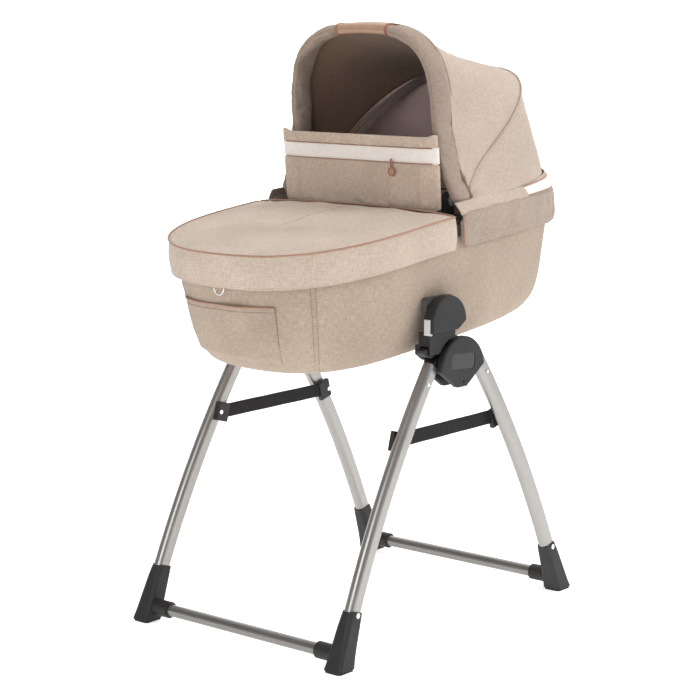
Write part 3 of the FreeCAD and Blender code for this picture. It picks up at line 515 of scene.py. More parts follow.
# each finish: how it is made, the record's slot, its colour and its own values
FINISHES = {
    # the six melange colours below are one fabric, painted lighter or darker part by part for how the light
    # falls: painted light on the foot cover, the hood and the wind flap (the flap brightened against the
    # hood's shadow), painted shade on the sleeves and the head band
    "tub_cloth": (melange, "melange_fabric", (0.41, 0.325, 0.255)),
    "cover_cloth": (melange, "melange_fabric", (0.54, 0.445, 0.365)),
    "hood_cloth": (melange, "melange_fabric", (0.49, 0.40, 0.33)),
    "sleeve_cloth": (melange, "melange_fabric", (0.34, 0.265, 0.215)),
    "band_cloth": (melange, "melange_fabric", (0.38, 0.305, 0.25)),
    "flap_cloth": (melange, "melange_fabric", (0.58, 0.46, 0.37)),
    "white_cloth": (melange, "melange_fabric", (0.90, 0.84, 0.79), 0.05),
    "lining_cloth": (melange, "lining_fabric", (0.25, 0.165, 0.12), 0.14),
    "liner_cloth": (melange, "lining_fabric", (0.42, 0.33, 0.27), 0.12),
    "mattress_cloth": (melange, "mattress_fabric", (0.78, 0.74, 0.70), 0.05),
    "mesh_cloth": (netting, "lining_fabric", (0.62, 0.47, 0.45)),
    "copper_piping": (leatherette, "leatherette", (0.36, 0.205, 0.14), 1200),
    "brown_thread": (thread, "leatherette", (0.19, 0.085, 0.05)),
    "pale_thread": (thread, "melange_fabric", (0.62, 0.5, 0.41)),
    "leatherette": (leatherette, "leatherette", (0.43, 0.27, 0.185)),
    "copper_leather": (leatherette, "leatherette", (0.38, 0.17, 0.11), 900),
    "champagne_tube": (metal, "leg_metal", (0.36, 0.345, 0.33), 0.30),
    "dark_bar": (metal, "bar_metal", (0.27, 0.26, 0.25), 0.32, (1400, 24, 1400)),
    "bright_steel": (metal, "steel", (0.78, 0.77, 0.76), 0.22),
    "hub_black": (plastic, "hub_plastic", (0.010, 0.0098, 0.0098), 0.55),
    "boot_black": (plastic, "boot_plastic", (0.018, 0.017, 0.017), 0.55, 700, 0.0002),
    "gloss_black": (plastic, "label_plastic", (0.014, 0.014, 0.015), 0.16, 500, 0.00003, 0.08),
    "button_grey": (plastic, "button_plastic", (0.55, 0.54, 0.53), 0.38),
    "shell_grey": (plastic, "shell_plastic", (0.060, 0.056, 0.052), 0.55),
    "rubber_black": (plastic, "rubber", (0.022, 0.021, 0.021), 0.75, 500, 0.0003),
    "black_webbing": (webbing, "webbing", (0.026, 0.025, 0.026)),
    "floor_paper": (plastic, "", (0.93, 0.93, 0.93), 0.9, 300, 0.00005, 0.004),
    "backdrop_paper": (plastic, "", (0.93, 0.93, 0.93), 0.9, 300, 0.00005, 0.004),
}
PAINTS = {}


def paint(name):
    if name not in PAINTS:
        make, _, *values = FINISHES[name]
        PAINTS[name] = make(name, *values)
    return PAINTS[name]


def dress(piece, *names, body=None):
    """Give a piece its materials and slot, and let it ride a body."""
    piece.data.materials.clear()
    for name in names:
        piece.data.materials.append(paint(name))
    if body:
        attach(piece, body)
    return piece


def piping(name, line, radius, colour, body, sides=10):
    """A cord along a level line, in its material and on its body."""
    dress(tube(name, placed(line), radius, sides), colour, body=body)


def stitch_row(name, line, colour, body, step=0.0046, length=0.0030, radius=0.0003):
    """A row of stitches along a level line, in its thread and on its body."""
    dress(stitches(name, placed(line), step, length, radius), colour, body=body)


CAD_PAINTS = {
    "leg_metal": "champagne_tube", "bar_metal": "dark_bar", "steel": "bright_steel",
    "hub_plastic": "hub_black", "boot_plastic": "boot_black", "label_plastic": "gloss_black",
    "button_plastic": "button_grey", "shell_plastic": "shell_grey", "rubber": "rubber_black",
    "melange_fabric": "tub_cloth", "lining_fabric": "lining_cloth", "mattress_fabric": "mattress_cloth",
    "webbing": "black_webbing", "leatherette": "leatherette",
}


def dress_cad():
    """The hard parts take their looks and a fine bevel."""
    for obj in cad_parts.values():
        for index, old in enumerate(obj.data.materials):
            key = old.name.split(".")[0] if old else "hub_plastic"
            found = [k for k in CAD_PAINTS if k in key]
            obj.data.materials[index] = paint(CAD_PAINTS[found[0] if found else "hub_plastic"])
        bevel = obj.modifiers.new("edge", "BEVEL")
        bevel.width = 0.0005
        bevel.segments = 2
        bevel.limit_method = "ANGLE"
        bevel.angle_limit = math.radians(38)


# ---- the plan of the bassinet ----------------------------------------------------
def plan(angle, inset=0.0):
    """A point of the plan at an angle round it: 0 is the head tip."""
    angle = np.asarray(angle, float)
    cosine = np.cos(angle)
    sine = np.sin(angle)
    reach = np.where(cosine > 0, HEAD_TIP - WIDEST_X, WIDEST_X - FOOT_TIP)
    power = np.where(cosine > 0, HEAD_POWER, FOOT_POWER)
    x = WIDEST_X + np.sign(cosine) * np.abs(cosine) ** (2 / power) * (reach - inset)
    y = np.sign(sine) * np.abs(sine) ** (2 / power) * (HALF_WIDTH - inset)
    return x, y


def plan_angles(start, end, count):
    """Angles whose plan points are evenly spaced."""
    fine = np.linspace(start, end, 4000)
    x, y = plan(fine)
    along = lengths(np.stack([x, y], -1))
    return np.interp(np.linspace(0, along[-1], count), along, fine)


def sheer(x):
    middle_x = (FOOT_TIP + HEAD_TIP) / 2
    return SHEER * ((x - middle_x) / ((HEAD_TIP - FOOT_TIP) / 2)) ** 2


def round_plan(angles, profile, droop=True):
    """Rows of points round the plan, one for each (inset, height)."""
    rows = []
    for inset, height in profile:
        x, y = plan(angles, inset)
        z = height - (sheer(x) if droop else 0.0)
        rows.append(np.stack([x, y, np.broadcast_to(z, x.shape)], -1))
    return np.array(rows)


def tub_point(angle, height, out=0.0):
    """A point on the tub's cloth, out from it by a small distance."""
    heights = [h for _, h in TUB_PROFILE][::-1]
    insets = [i for i, _ in TUB_PROFILE][::-1]
    inset = np.interp(height, heights, insets)
    x, y = plan(angle, inset - out)
    return np.array([float(x), float(y), float(height)])


# ---- tub --------------------------------------------------------------------------
def tub_rows(count=64):
    """The tub's side from under the skirt to the floor, evenly spaced."""
    return smooth_line([(i, h, 0) for i, h in TUB_PROFILE], count)[:, :2]


def near_seam(angles):
    return np.minimum(np.abs(angles - SEAM_ANGLE), np.abs(angles + SEAM_ANGLE))


def make_tub():
    """The taut outer cloth, with dents between its seams."""
    angles = plan_angles(-math.pi, math.pi, 401)[:-1]
    rows = tub_rows()
    points = round_plan(angles, rows, droop=False)
    heights = rows[:, 1]
    top = heights > 0.66
    points[top, :, 2] -= (sheer(points[top, :, 0]) * smoothstep(0.66, 0.703, heights[top])[:, None])
    normal = grid_normals(points, wrap=True)
    wall = smoothstep(0.49, 0.53, heights)[:, None] * smoothstep(0.70, 0.66, heights)[:, None]
    dents = ripple(points * [1, 1, 0.6], 0.075, 11) * 0.0011
    pucker = np.exp(-(near_seam(angles) / 0.05) ** 2)[None, :]
    waves = np.sin(heights * 2 * math.pi / 0.017)[:, None] * pucker * 0.0007
    groove = -0.0015 * np.exp(-(near_seam(angles) / 0.006) ** 2)[None, :]
    low_folds = np.exp(-((heights - 0.515) / 0.02) ** 2)[:, None]
    low_folds = low_folds * ripple(points * [1, 1, 0.1], 0.028, 12) * 0.0008
    points = points + normal * (wall * (dents + waves) + groove * wall + low_folds)[..., None]
    cloth = grid("tub_cloth_outer", placed(points), wrap=True)
    centre = placed(np.array([[WIDEST_X + 0.1, 0.0, TUB_PROFILE[-1][1]]]))[0]
    close_last_row(cloth, points.shape[:2], centre)
    thicken(cloth, 0.0014, -1.0)
    dress(cloth, "tub_cloth", body="bassinet")
    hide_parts("tub_cover")
    return cloth


def close_last_row(piece, shape, centre):
    """Fill the open last row of a wrapped grid with a fan of triangles."""
    rows, cols = shape
    mesh = bmesh.new()
    mesh.from_mesh(piece.data)
    mesh.verts.ensure_lookup_table()
    hub = mesh.verts.new(tuple(centre))
    mesh.verts.ensure_lookup_table()
    first = (rows - 1) * cols
    for k in range(cols):
        a = mesh.verts[first + k]
        b = mesh.verts[first + (k + 1) % cols]
        face = mesh.faces.new((a, b, hub))
        face.smooth = True
    bmesh.ops.recalc_face_normals(mesh, faces=mesh.faces)
    mesh.to_mesh(piece.data)
    mesh.free()


def make_tub_seams():
    """The stitched double seam on each side, with its folded ridge."""
    lines = []
    for sign in (1, -1):
        for offset in (-0.022, 0.022):
            heights = np.linspace(0.66, 0.493, 60)
            spots = np.array([tub_point(sign * SEAM_ANGLE + offset, h, 0.0012) for h in heights])
            lines.append(stitches("tub_stitch", placed(spots)))
    dress(joined("tub_seam_stitches", lines), "brown_thread", body="bassinet")
    for sign, side in ((1, "left"), (-1, "right")):
        spots = np.array([tub_point(sign * SEAM_ANGLE, h, 0.0004) for h in np.linspace(0.665, 0.49, 60)])
        piping("tub_seam_" + side, spots, 0.0011, "tub_cloth", "bassinet", 8)


def make_pocket():
    """The patch pocket at the foot end: its own cloth, piped top and stitches."""
    span = POCKET_FAR, 2 * math.pi + POCKET_NEAR
    angles = plan_angles(span[0], span[1], 120)
    heights = np.linspace(POCKET_TOP, POCKET_LOW, 34)
    points = np.array([[tub_point(a, h + 0.006 * (a - POCKET_FAR) * (h - POCKET_LOW) / 0.095, 0.0)
                        for a in angles] for h in heights])
    normal = -grid_normals(points)
    outward = np.sign(np.sum(normal * (points - [WIDEST_X, 0, 0.6]), axis=-1, keepdims=True))
    normal = normal * outward
    rise = smoothstep(0, 0.12, np.linspace(0, 1, 34))[::-1][:, None]
    slack = 0.0022 + 0.0016 * ripple(points, 0.06, 31)
    edge = smoothstep(0, 0.03, np.linspace(0, 1, 120)) * smoothstep(1, 0.97, np.linspace(0, 1, 120))
    points = points + normal * (0.0008 + slack * rise * edge[None, :])[..., None]
    patch = grid("foot_pocket", placed(points))
    thicken(patch, 0.0012, 0.0)
    dress(patch, "tub_cloth", body="bassinet")
    top = points[0] + normal[0] * 0.0008
    piping("pocket_piping", top, 0.0017, "copper_piping", "bassinet")
    near = points[:, -1] + normal[:, -1] * 0.0014
    far = points[:, 0] + normal[:, 0] * 0.0014
    below = points[1:3, :].mean(axis=0) + normal[1] * 0.0006
    rows = [stitches("pocket_stitch", placed(line), 0.006, 0.004) for line in (near, far)]
    rows.append(stitches("pocket_stitch", placed(below - [0, 0, 0.004]), 0.005, 0.0034))
    dress(joined("pocket_stitches", rows), "brown_thread", body="bassinet")


def make_foot_ring():
    """The small half ring sewn to the foot end."""
    turn = np.linspace(0, math.pi, 26)
    x, _ = plan(math.pi, 0.012)
    y = 0.009 + 0.011 * np.cos(turn)
    z = 0.643 - 0.013 * np.sin(turn)
    path = np.stack([np.full_like(y, float(x) - 0.006 + 0.001), y, z], -1)
    piping("foot_ring", path, 0.0014, "bright_steel", "bassinet")
    v = np.linspace(-1, 1, 12)
    tab = np.stack([float(x) - 0.006 - 0.0008 * np.abs(v), 0.009 + 0.011 * v, np.full_like(v, 0.6432)], -1)
    piping("foot_ring_tab", tab, 0.0026, "leatherette", "bassinet", 8)


def make_liner():
    """The inside cloth: down the wall and in under the mattress."""
    angles = plan_angles(-math.pi, math.pi, 321)[:-1]
    rows = tub_rows(40)
    rows = rows[rows[:, 1] > 0.494]
    shape = [(i + LINER_DEPTH, h) for i, h in rows]
    points = round_plan(angles, shape, droop=False)
    heights = np.array([h for _, h in shape])
    points[..., 2] -= sheer(points[..., 0]) * smoothstep(0.66, 0.703, heights)[:, None]
    normal = -grid_normals(points, wrap=True)
    points = points + normal * (ripple(points, 0.05, 21) * 0.0008)[..., None]
    cloth = grid("liner_cloth", placed(points), wrap=True, flip=True)
    thicken(cloth, 0.0012, 0.0)
    dress(cloth, "liner_cloth", body="bassinet")
    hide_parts("liner")


def make_mattress():
    """The mattress: a filled, slightly dished pad with a piped edge."""
    angles = plan_angles(-math.pi, math.pi, 241)[:-1]
    profile = smooth_line([(0.105, 0.4985, 0), (0.080, 0.503, 0), (0.064, 0.512, 0), (0.058, 0.522, 0),
                           (0.058, 0.533, 0), (0.064, 0.541, 0), (0.080, 0.545, 0)], 18)[:, :2]
    inner = [(d, 0.5455) for d in np.linspace(0.09, 0.200, 12)]
    rows = round_plan(angles, [tuple(p) for p in profile] + inner, droop=False)
    quilt = ripple(rows, 0.06, 41)
    rows[..., 2] += 0.0012 * quilt * smoothstep(0.541, 0.545, rows[..., 2])
    pad = grid("mattress_pad", placed(rows), wrap=True, flip=False, caps=True)
    puff(pad, np.arange(len(pad.data.vertices)) < 241 * 6, pressure=2.0, cap=0.004)
    dress(pad, "mattress_cloth", body="bassinet")
    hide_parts("mattress")
    line = round_plan(np.append(angles, angles[0]), [(0.0585, 0.5385)], droop=False)[0]
    piping("mattress_piping", line, 0.0014, "pale_thread", "bassinet", 8)


# ---- foot cover and head band --------------------------------------------------------
BAND_TOP = SKIRT_Z + SKIRT_TALL
CROWN = 0.010                   # how far the foot cover's middle rises
HEM_R = 0.0030
HEM_SEAM = 0.006                # the hem's stitches, above the skirt's lower edge
END_GAP = 0.012                 # half the gap between cover and band, as an angle
COVER_ANGLE = math.acos(((SPLIT_X - WIDEST_X) / (HEAD_TIP - WIDEST_X)) ** (HEAD_POWER / 2))


def skirt_profile(bulge=0.0026, count=16):
    """The skirt from its top edge down to its soft lower edge: (out, down)."""
    t = np.linspace(0, 1, count)
    out = bulge * np.sin(t * math.pi) ** 0.7 - 0.0012
    return np.stack([out, t * SKIRT_TALL], -1)


def cover_top(rim, steps):
    """The crowned top, in rows from the rim in to the cover's middle line."""
    share = np.linspace(0, 1, steps)[:, None]
    middle_x = np.clip(rim[:, 0], -0.20, rim[0, 0] - 0.02)
    x = rim[:, 0] + (middle_x - rim[:, 0]) * share
    y = rim[:, 1] * (1 - share)
    z = BAND_TOP - sheer(x) + CROWN * (1 - (1 - share) ** 2.2)
    rows = np.stack([x, y, z], -1)
    rows[..., 2] += ripple(rows, 0.07, 51) * 0.0016 * smoothstep(0, 0.2, share)
    return rows


def cover_skirt(angles):
    """The skirt's outside, gently rippled, with its rolled hem and inside."""
    skirt = round_plan(angles, [(-out, BAND_TOP - down) for out, down in skirt_profile()])
    waves = ripple(skirt * [1, 1, 0.25], 0.034, 52)
    amount = np.sin(np.linspace(0, math.pi, len(skirt)))[:, None] * 0.0010
    normal = skirt - round_plan(angles, [(0.03, BAND_TOP)])[0][None]
    normal[..., 2] = 0
    normal /= np.linalg.norm(normal, axis=-1, keepdims=True)
    skirt = skirt + normal * (waves * amount)[..., None]
    rest = rolled_hem(0.0, 7)
    rest += [(0.0060, SKIRT_Z + up) for up in np.linspace(0.0, SKIRT_TALL - 0.010, 6)[1:]]
    return np.concatenate([skirt[1:], round_plan(angles, rest)])


def rolled_hem(inset, steps):
    """The half turn at the skirt's lower edge, as (inset, height)."""
    turn = np.linspace(0, math.pi, steps)[1:]
    return [(inset + HEM_R - HEM_R * math.cos(t), SKIRT_Z - HEM_R * math.sin(t)) for t in turn]


def make_foot_cover():
    """The foot cover: a crowned padded top, a piped edge and a skirt."""
    cols = 200
    steps = 34
    angles = plan_angles(COVER_ANGLE + END_GAP, 2 * math.pi - COVER_ANGLE - END_GAP, cols)
    rim = round_plan(angles, [(0.0, BAND_TOP)])[0]
    full = np.concatenate([cover_top(rim, steps)[::-1], cover_skirt(angles)])
    cover = grid("foot_cover_cloth", placed(full), flip=True)
    pinned = np.ones(full.shape[:2], bool)
    pinned[1:steps - 1, 3:-3] = False
    pinned[steps + 1:steps + 13, 3:-3] = False
    puff(cover, pinned.ravel(), pressure=2.5, cap=0.003, grow=0.01)
    thicken(cover, 0.0012, -1.0)
    dress(cover, "cover_cloth", body="foot_cover")
    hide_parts("foot_cover")
    edge = round_plan(angles, [(-0.0004, BAND_TOP + 0.0004)])[0]
    piping("foot_cover_piping", edge, 0.0016, "copper_piping", "foot_cover")
    hem_line = round_plan(angles, [(-0.0006, SKIRT_Z + HEM_SEAM)])[0]
    stitch_row("foot_cover_hem_stitches", hem_line, "pale_thread", "foot_cover")
    make_cover_front(rim[0], rim[-1])


def make_cover_front(far, near):
    """The piped straight edge across the cover's front."""
    t = np.linspace(0, 1, 80)
    line = far[None] + (near - far)[None] * t[:, None]
    line[:, 0] -= 0.0005
    line[:, 2] += CROWN * np.sin(t * math.pi) ** 0.5 - 0.001
    piping("foot_cover_front_piping", line, 0.0017, "copper_piping", "foot_cover")


BASE_LIMIT = COVER_ANGLE - 0.014   # how far round the head the hood's base runs
STRIPE_LIMIT = 1.07


def make_head_band():
    """The padded band round the head half of the rim, one closed roll."""
    cols = 260
    angles = plan_angles(-COVER_ANGLE + END_GAP, COVER_ANGLE - END_GAP, cols)
    profile = [(-out, BAND_TOP - down) for out, down in skirt_profile(0.0030, 18)]
    profile += rolled_hem(0.0006, 8)
    profile += [(0.0075, height) for height in np.linspace(SKIRT_Z + 0.004, BAND_TOP - 0.003, 8)]
    for t in np.linspace(0, math.pi, 7)[1:-1]:
        profile.append((0.0038 + 0.0037 * math.cos(t), BAND_TOP - 0.001 + HEM_R * math.sin(t)))
    points = round_plan(angles, profile)
    ends = smoothstep(0, 0.016, np.linspace(0, 1, cols)) * smoothstep(1, 0.984, np.linspace(0, 1, cols))
    middle_line = points.mean(axis=0, keepdims=True)
    points = middle_line + (points - middle_line) * (0.55 + 0.45 * ends)[None, :, None]
    waves = ripple(points * [1, 1, 0.25], 0.034, 61) * 0.0009
    away = points - middle_line
    away /= np.maximum(np.linalg.norm(away, axis=-1, keepdims=True), 1e-6)
    points = points + away * waves[..., None]
    band = grid("head_band_cloth", placed(points.transpose(1, 0, 2)), wrap=True, flip=True, caps=True)
    free = np.zeros((cols, len(profile)), bool)
    free[6:-6, 2:16] = True
    puff(band, ~free.ravel(), pressure=2.5, cap=0.003, grow=0.01)
    dress(band, "band_cloth", body="bassinet")
    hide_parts("head_band")
    hem_line = round_plan(angles, [(-0.0007, SKIRT_Z + HEM_SEAM)])[0]
    stitch_row("head_band_stitches", hem_line, "pale_thread", "bassinet")
    for sign, side in ((1, "left"), (-1, "right")):
        end = np.array([sign * (COVER_ANGLE - END_GAP)])
        line = round_plan(end, [(-0.0016, h) for h in np.linspace(SKIRT_Z, BAND_TOP, 24)])[:, 0]
        piping("head_band_end_" + side, line, 0.0015, "copper_piping", "bassinet", 8)
    make_head_stripe()


def rim_slope(angles, shares, bulge=0.0):
    """Rows from the band's top (share 0) in and up to the hood's base."""
    rows = []
    for share in shares:
        x, y = plan(angles, 0.0035 + 0.0125 * share ** 1.3 - bulge * math.sin(math.pi * share))
        low = BAND_TOP - 0.0015 - sheer(x)
        rows.append(np.stack([x, y, low + (HOOD_Z + 0.0015 - low) * share], -1))
    return np.array(rows)


def make_head_stripe():
    """The hood's sewn-down base, with the white strip and its pipings."""
    angles = plan_angles(-BASE_LIMIT, BASE_LIMIT, 240)
    base = rim_slope(angles, np.linspace(0, 1, 14), 0.0005)
    cloth = grid("hood_base_cloth", placed(base))
    thicken(cloth, 0.0012, 1.0)
    dress(cloth, "hood_cloth", body="bassinet")
    angles = plan_angles(-STRIPE_LIMIT, STRIPE_LIMIT, 200)
    strip = grid("head_white_strip", placed(rim_slope(angles, np.linspace(0.22, 0.80, 8), 0.0022)))
    thicken(strip, 0.0010, 0.0)
    dress(strip, "white_cloth", body="bassinet")
    for name, share in (("low", 0.20), ("high", 0.82)):
        line = rim_slope(angles, [share], 0.0026)[0]
        piping("head_piping_" + name, line, 0.0014, "copper_piping", "bassinet")


# ---- wind flap ---------------------------------------------------------------------
def flap_plan(count=150):
    """The flap seen from above: flat, with its ends bent back."""
    y = np.linspace(-FLAP_HALF, FLAP_HALF, count)
    bend = np.clip((np.abs(y) - FLAP_FLAT) / (FLAP_HALF - FLAP_FLAT), 0, 1)
    return FLAP_X + FLAP_BACK * bend ** 2, y


def flap_roll(name, low, high, thick, colour, seed, corner=0.0, free=True):
    """One padded strip of the flap, between two heights above its foot."""
    x, y = flap_plan()
    cols = len(y)
    turn = np.linspace(0, 2 * math.pi, 44, endpoint=False)
    across = np.sign(np.cos(turn)) * np.abs(np.cos(turn)) ** 0.8
    up = np.sign(np.sin(turn)) * np.abs(np.sin(turn)) ** 0.35
    share = np.abs(y) / FLAP_HALF
    close = np.sqrt(np.clip(1 - smoothstep(0.955, 1.0, share) ** 2, 0.06, 1))
    top = high + corner * smoothstep(0.86, 0.98, share)
    centre = (low + top) / 2
    half = (top - low) / 2
    seam = 1 - 0.55 * np.exp(-((np.abs(y) - FLAP_FLAT) / 0.0035) ** 2)
    px = x[:, None] + across[None] * (thick / 2 * close * seam)[:, None]
    pz = FLAP_LOW + centre[:, None] + up[None] * half[:, None] * (0.9 + 0.1 * close)[:, None]
    py = np.broadcast_to(y[:, None], px.shape)
    points = np.stack([px, py, pz], -1)
    low_pucker = np.exp(-((points[..., 2] - FLAP_LOW - low) / 0.016) ** 2)
    waves = ripple(points * [1, 1, 0.2], 0.024, seed) * low_pucker * 0.0010
    waves = waves + ripple(points, 0.05, seed + 1) * 0.0007
    points[..., 0] += waves * np.sign(across)[None]
    roll = grid(name, placed(points), wrap=True, caps=True)
    loose = np.zeros((cols, 44), bool)
    loose[6:-6] = np.abs(up)[None] < 0.93
    loose[np.abs(np.abs(y) - FLAP_FLAT) < 0.003] = False
    if free:
        puff(roll, ~loose.ravel(), pressure=2.5, cap=0.0022, grow=0.01)
    dress(roll, colour, body="wind_flap")
    return roll


def make_flap():
    """The raised wind flap, with its recessed pale stripe and two seams."""
    # the flap's cloth colour is painted light, brightened against the shadow of the hood
    main = flap_roll("wind_flap_panel", 0.0, STRIPE_LOW, 0.008, "flap_cloth", 71)
    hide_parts("wind_flap")
    stripe = flap_roll("wind_flap_stripe", STRIPE_LOW - 0.001, STRIPE_HIGH + 0.002, 0.0038,
                       "white_cloth", 73, free=False)
    top = flap_roll("wind_flap_top", STRIPE_HIGH, FLAP_TALL, 0.0078, "flap_cloth", 75, corner=0.004)
    x, y = flap_plan(160)
    lines = []
    for height, name in ((STRIPE_LOW + 0.0004, "low"), (STRIPE_HIGH, "high")):
        path = np.stack([x - 0.0036, y, np.full_like(y, FLAP_LOW + height)], -1)[4:-4]
        piping("flap_piping_" + name, path, 0.0009, "copper_piping", "wind_flap", 8)
    for sign in (1, -1):
        for shift in (-0.0022, 0.0022):
            z = np.linspace(FLAP_LOW + 0.004, FLAP_LOW + STRIPE_LOW - 0.004, 30)
            x_line = np.full_like(z, FLAP_X - 0.0040)
            path = np.stack([x_line, np.full_like(z, sign * FLAP_FLAT + shift), z], -1)
            lines.append(stitches("flap_stitch", placed(path), 0.0042, 0.0028, 0.0003))
    dress(joined("flap_stitches", lines), "pale_thread", body="wind_flap")
    cord = np.stack([x + 0.0005, y, np.full_like(y, FLAP_LOW - 0.0003)], -1)[3:-3]
    piping("flap_hem_cord", cord, 0.0020, "flap_cloth", "wind_flap")


def make_charm():
    """The zip's plain pull: a leather loop and a small ring disc."""
    x, y, z = FLAP_X - 0.0066, -0.082, 0.789
    turn = np.linspace(0, 2 * math.pi, 41)
    ring = np.stack([np.full_like(turn, x), y + 0.0066 * np.cos(turn), z + 0.0066 * np.sin(turn)], -1)
    loop_y = y + 0.0022 * np.sin(turn)
    loop_z = z + 0.0145 + 0.0075 * np.cos(turn)
    loop = np.stack([np.full_like(turn, x + 0.0004), loop_y, loop_z], -1)
    parts = [tube("charm_ring", placed(ring), 0.0014, 10), tube("charm_loop", placed(loop), 0.0009, 8)]
    charm = joined("zip_charm_pull", parts)
    dress(charm, "copper_leather", body="zip_charm")
    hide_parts("zip_charm")
    disc_turn = np.linspace(0, 2 * math.pi, 32, endpoint=False)
    rows = []
    half = [(0.0010, 0.0005), (0.0010, 0.0050), (0.0006, 0.0056)]
    for depth, radius in [(-depth, radius) for depth, radius in half] + half[::-1]:
        rows.append(np.stack([np.full_like(disc_turn, x + depth), y + radius * np.cos(disc_turn),
                              z + radius * np.sin(disc_turn)], -1))
    disc = grid("charm_disc", placed(np.array(rows)), wrap=True, caps=True)
    dress(disc, "leatherette", body="zip_charm")


# ---- hood ---------------------------------------------------------------------------
class Arch:
    """Half width, flare at the base, straight height, reach and power."""

    def __init__(self, half, flare, straight, reach, power):
        self.size = np.array([half, flare, straight, reach, power])

    def inset(self, depth):
        return Arch(*(self.size - np.array([depth, 0, 0, depth, 0])))

    def line(self, count, low=0.0):
        """(y, reach) round the whole arch, evenly spaced."""
        half, flare, straight, reach, power = self.size
        height = np.linspace(low, straight, 60, endpoint=False)
        side = np.stack([half + flare * (1 - np.clip(height, 0, None) / straight) ** 2, height], -1)
        turn = np.linspace(0, math.pi / 2, 90)
        top = np.stack([half * np.cos(turn) ** (2 / power),
                        straight + (reach - straight) * np.sin(turn) ** (2 / power)], -1)
        left = np.concatenate([side, top])
        right = (left * [-1, 1])[::-1][1:]
        return resampled(np.concatenate([left, right]), count)


FRONT = Arch(0.169, 0.038, 0.132, 0.302, 3.0)
REAR = Arch(0.172, 0.034, 0.140, 0.373, 2.7)
BASE = Arch(0.206, 0.0, 0.040, 0.391, 2.4)


def chord_reach(first, first_angle, last, last_angle, angle):
    """The reach at an angle of the straight line between two arch tops."""
    a = np.array([math.cos(first_angle), math.sin(first_angle)]) * first
    b = np.array([math.cos(last_angle), math.sin(last_angle)]) * last
    d = b - a
    return (a[0] * d[1] - a[1] * d[0]) / (math.cos(angle) * d[1] - math.sin(angle) * d[0])


def arch_at(degrees):
    if degrees > REAR_ANGLE:
        share = (90 - degrees) / (90 - REAR_ANGLE)
        first, last, top, bottom, sag = FRONT, REAR, 90.0, REAR_ANGLE, 0.013
    else:
        share = (REAR_ANGLE - degrees) / REAR_ANGLE
        first, last, top, bottom, sag = REAR, BASE, REAR_ANGLE, 0.0, 0.003
    size = first.size + (last.size - first.size) * share
    size[3] = chord_reach(first.size[3], math.radians(top), last.size[3], math.radians(bottom),
                          math.radians(degrees)) - sag * 4 * share * (1 - share)
    return Arch(*size)


def fan(line, degrees, lift=0.0):
    """An arch's (y, reach) line stood up at an angle round the pivot."""
    angle = math.radians(degrees)
    reach = line[:, 1] + lift
    return np.stack([HOOD_X + reach * math.cos(angle), line[:, 0], HOOD_Z + reach * math.sin(angle)], -1)


def hood_cloth(start, end, rows, cols, low, seed):
    """A canopy panel between two angles, with creases near its base."""
    points = np.array([fan(arch_at(a).line(cols, low), a) for a in np.linspace(start, end, rows)])
    normal = grid_normals(points)
    centre = np.array([HOOD_X + 0.1, 0, HOOD_Z])
    facing = np.sign(np.sum(normal * (points - centre), axis=-1, keepdims=True))
    normal = normal * facing
    side = np.linalg.norm((points - [HOOD_X, 0, HOOD_Z])[..., [0, 2]], axis=-1)
    angle = np.arctan2(points[..., 2] - HOOD_Z, points[..., 0] - HOOD_X)
    creases = np.sin(angle * 17 + 2.5 * ripple(points, 0.16, seed)) * np.exp(-(side / 0.10) ** 2) * 0.0020
    soft = ripple(points, 0.11, seed + 1) * 0.0012 + ripple(points, 0.045, seed + 2) * 0.0004
    t = np.linspace(0, 1, rows)[:, None]
    edge = smoothstep(0, 0.12, t) * smoothstep(1, 0.88, t)
    points = points + normal * ((creases + soft) * edge)[..., None]
    return points, normal


def make_hood_front():
    cols = 150
    rows = 56
    points, normal = hood_cloth(90, REAR_ANGLE, rows, cols, 0.006, 81)
    clear = HOOD_X + 0.017
    short = points[..., 0] < clear
    slide = np.linspace(0, 0.002, rows)[:, None]
    points[..., 0] = np.where(short, clear + slide, points[..., 0])
    under = placed(points - normal * 0.0012)
    cloth = grid("canopy_front_cloth", under)
    face_out(cloth)
    thicken(cloth, 0.0022, -1.0, 1)
    dress(cloth, "hood_cloth", "lining_cloth")
    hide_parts("canopy_front")
    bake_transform(cloth)


def make_hood_back():
    cols = 150
    rows = 34
    points, normal = hood_cloth(REAR_ANGLE, 0, rows, cols, 0.012, 84)
    cloth = grid("canopy_back_cloth", placed(points - normal * 0.0012))
    face_out(cloth)
    thicken(cloth, 0.0022, -1.0, 1)
    dress(cloth, "hood_cloth", "mesh_cloth")
    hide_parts("canopy_back")
    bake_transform(cloth)


def face_out(piece):
    """Turn a canopy's faces so that they look away from the hood's inside."""
    centre = Vector(placed(np.array([[HOOD_X + 0.12, 0.0, HOOD_Z + 0.03]]))[0])
    total = sum((poly.center - centre).dot(poly.normal) * poly.area for poly in piece.data.polygons)
    if total < 0:
        piece.data.flip_normals()


def make_hood_seams():
    """The welts and stitches of the canopy, and the binding inside it."""
    line = REAR.line(160, 0.03)
    piping("hood_rear_welt", fan(line, REAR_ANGLE), 0.0013, "hood_cloth", "hood_rear", 8)
    inner = REAR.inset(0.0075).line(160, 0.05)
    piping("hood_binding", fan(inner, REAR_ANGLE - 2.0), 0.0034, "copper_piping", "hood_rear", 12)
    rows = []
    arch = REAR.line(220, 0.02)
    for shift in (0.9, -0.9):
        line = placed(fan(arch, REAR_ANGLE + shift, 0.0006))
        rows.append(stitches("hood_stitch", line, 0.0048, 0.0032, 0.0003))
    dress(joined("hood_seam_stitches", rows), "pale_thread", body="hood_rear")


BOW_STEPS = 600


def sleeve_path():
    """The middle line of the sleeves on the front bow, from base to base."""
    return fan(FRONT.inset(0.010).line(BOW_STEPS, -0.004), 90)


